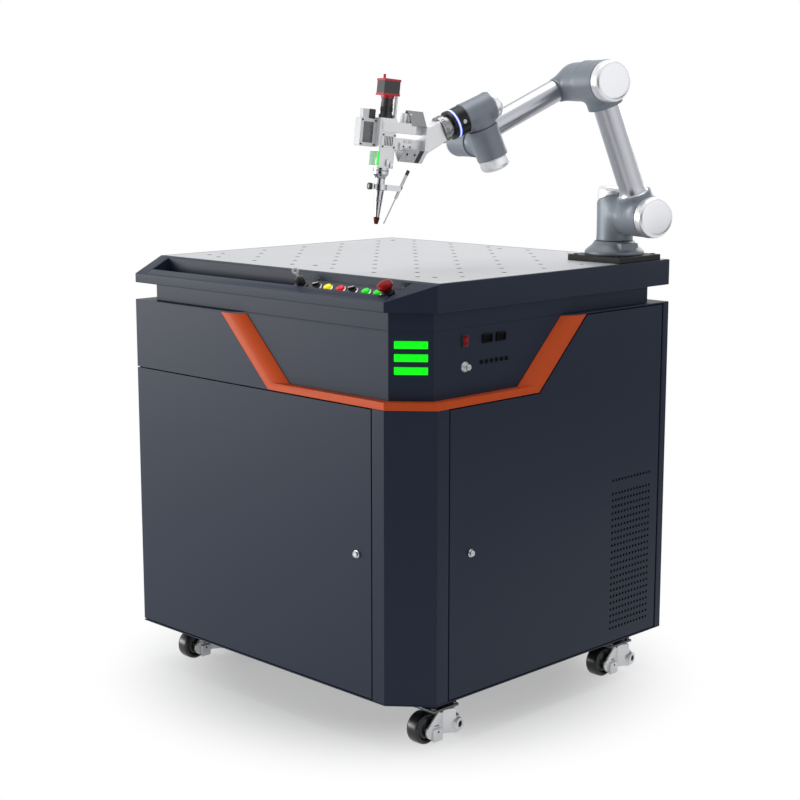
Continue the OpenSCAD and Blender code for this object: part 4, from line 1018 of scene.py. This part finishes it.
for a, r in ((53, 9.4), (77, 11.5), (104, 11.5), (121, 18)):
    turned(nozzle_rings, upward(0, 0, a), [
        (r - 0.5, -1.2), (r + 0.3, -1.2), (r + 0.6, -0.6), (r + 0.6, 0.6), (r + 0.3, 1.2), (r - 0.5, 1.2)],
        36, ring=True)
make("nozzle_rings", nozzle_rings, flange_steel, "laser_head", "steel_flange")
thumbscrew = bmesh.new()
turned(thumbscrew, level(head_spot, 20, 0, 84), [
    (0, 0.2), (7.2, 0.2), (7.8, 0.8), (7.8, 7.4), (7.2, 8.2), (4, 8.2), (3.6, 7.6), (0, 7.6)], 28)
guide_up = upward(-52, 0, 84) @ Matrix.Rotation(math.radians(-22), 4, "Y")
turned(thumbscrew, guide_up, [(3.4, 34), (4.0, 34.4), (4.0, 45.4), (3.4, 46)], 24, ring=True)
turned(thumbscrew, guide_up, [(3.4, -2), (4.6, -1.6), (4.6, 5.6), (3.4, 6)], 24, ring=True)
make("guide_thumbscrew", thumbscrew, black_alloy, "laser_head", "black_alloy")


# STUDIO
# A pale floor in a white room, under soft light. Cameras, mirrors and glass see the floor as white at a
# distance from the cabinet, and it keeps the shadow near it.

def stage_sheet(name, half_size, material):
    """A flat sheet of the studio, which is no piece of the part."""
    shape = bmesh.new()
    bmesh.ops.create_grid(shape, x_segments=2, y_segments=2, size=half_size)
    mesh = bpy.data.meshes.new(name)
    shape.to_mesh(mesh)
    shape.free()
    mesh.materials.append(material)
    sheet = bpy.data.objects.new(name, mesh)
    scene.collection.objects.link(sheet)
    return sheet


def seen_directly(wire):
    """1 for the rays by which cameras, mirrors and glass see a thing, and 0 for the rays that light it."""
    camera_ray, glossy_ray, glass_ray = (
        wire.node("LightPath", {}, {}, "Is " + kind + " Ray") for kind in ("Camera", "Glossy", "Transmission"))
    return camera_ray + glossy_ray + glass_ray


white = (1.0, 1.0, 1.0, 1.0)
floor_finish, _, floor_place = finish("pale_floor", {
    "Base Color": (0.86, 0.86, 0.86, 1.0), "Roughness": 0.9, "Specular IOR Level": 0.1})
floor_nodes = floor_finish.node_tree.nodes
matt = Wire(floor_nodes["Principled BSDF"].outputs[0])
lit = floor_place.node("Emission", {}, {"Color": white, "Strength": 1.0})
away = floor_place.node("VectorMath", {"operation": "LENGTH"}, {0: floor_place}, 1)
whiter = away.node("MapRange", {"interpolation_type": "SMOOTHSTEP"}, {
    "Value": away, "From Min": 0.4, "From Max": 0.82, "To Min": 0.4, "To Max": 1.0})
floor_place.node("MixShader", {}, {0: seen_directly(floor_place) * whiter, 1: matt, 2: lit}).into(
    floor_nodes["Material Output"].inputs["Surface"])
stage_sheet("floor", 30.0, floor_finish)

world = bpy.data.worlds.new("studio")
scene.world = world
world.use_nodes = True
room = world.node_tree.nodes
room["Background"].inputs["Color"].default_value = (0.31, 0.32, 0.34, 1.0)
air = Wire(room["Background"].outputs[0])
backdrop = air.node("Background", {}, {"Color": white, "Strength": 1.0})
air.node("MixShader", {}, {0: seen_directly(air), 1: air, 2: backdrop}).into(room["World Output"].inputs["Surface"])

for name, place, size, power, colour in (
    ("key_softbox", (-6.9, -6.3, 1.0), (6.6, 2.8), 560, (1.0, 0.99, 0.97)),
    ("side_softbox", (4.8, 0.3, 1.9), (4.2, 3.4), 14, (1.0, 1.0, 1.0)),
    ("top_softbox", (0.2, 0.4, 4.6), (2.8, 2.8), 68, (1.0, 1.0, 1.0)),
    ("back_softbox", (-0.5, 4.6, 3.0), (2.4, 2.4), 50, (1.0, 1.0, 1.0)),
):
    lamp = bpy.data.lights.new(name, "AREA")
    lamp.shape = "RECTANGLE"
    lamp.size, lamp.size_y = size
    lamp.energy = power
    lamp.color = colour
    stand = bpy.data.objects.new(name, lamp)
    stand.location = place
    stand.rotation_euler = (Vector((0, 0, 0.9)) - Vector(place)).to_track_quat("-Z", "Y").to_euler()
    stand.visible_camera = False
    scene.collection.objects.link(stand)

# Two black cloth flags hang at the right, one in front and one behind. Only mirrors see them, so that bare
# metal shows dark bands and the coat of the right side doesn't pick up the white room.
flag_cloth, cloth, cloth_place = finish("flag_cloth", {"Specular IOR Level": 0.0, "Roughness": 1.0})
speckle(cloth_place, 40.0).blend(tone(26, 26, 28), tone(34, 34, 36)).into(cloth["Base Color"])
for name, place in (("front_flag", (1.9, -2.7, 1.2)), ("rear_flag", (2.1, 1.7, -0.35))):
    flag = stage_sheet(name, 1.2, flag_cloth)
    flag.location = place
    flag.rotation_euler = (Vector((0, 0, place[2])) - Vector(place)).to_track_quat("Z", "Y").to_euler()
    for ray in ("camera", "diffuse", "transmission", "shadow"):
        setattr(flag, "visible_" + ray, False)

scene.view_settings.view_transform = "Standard"
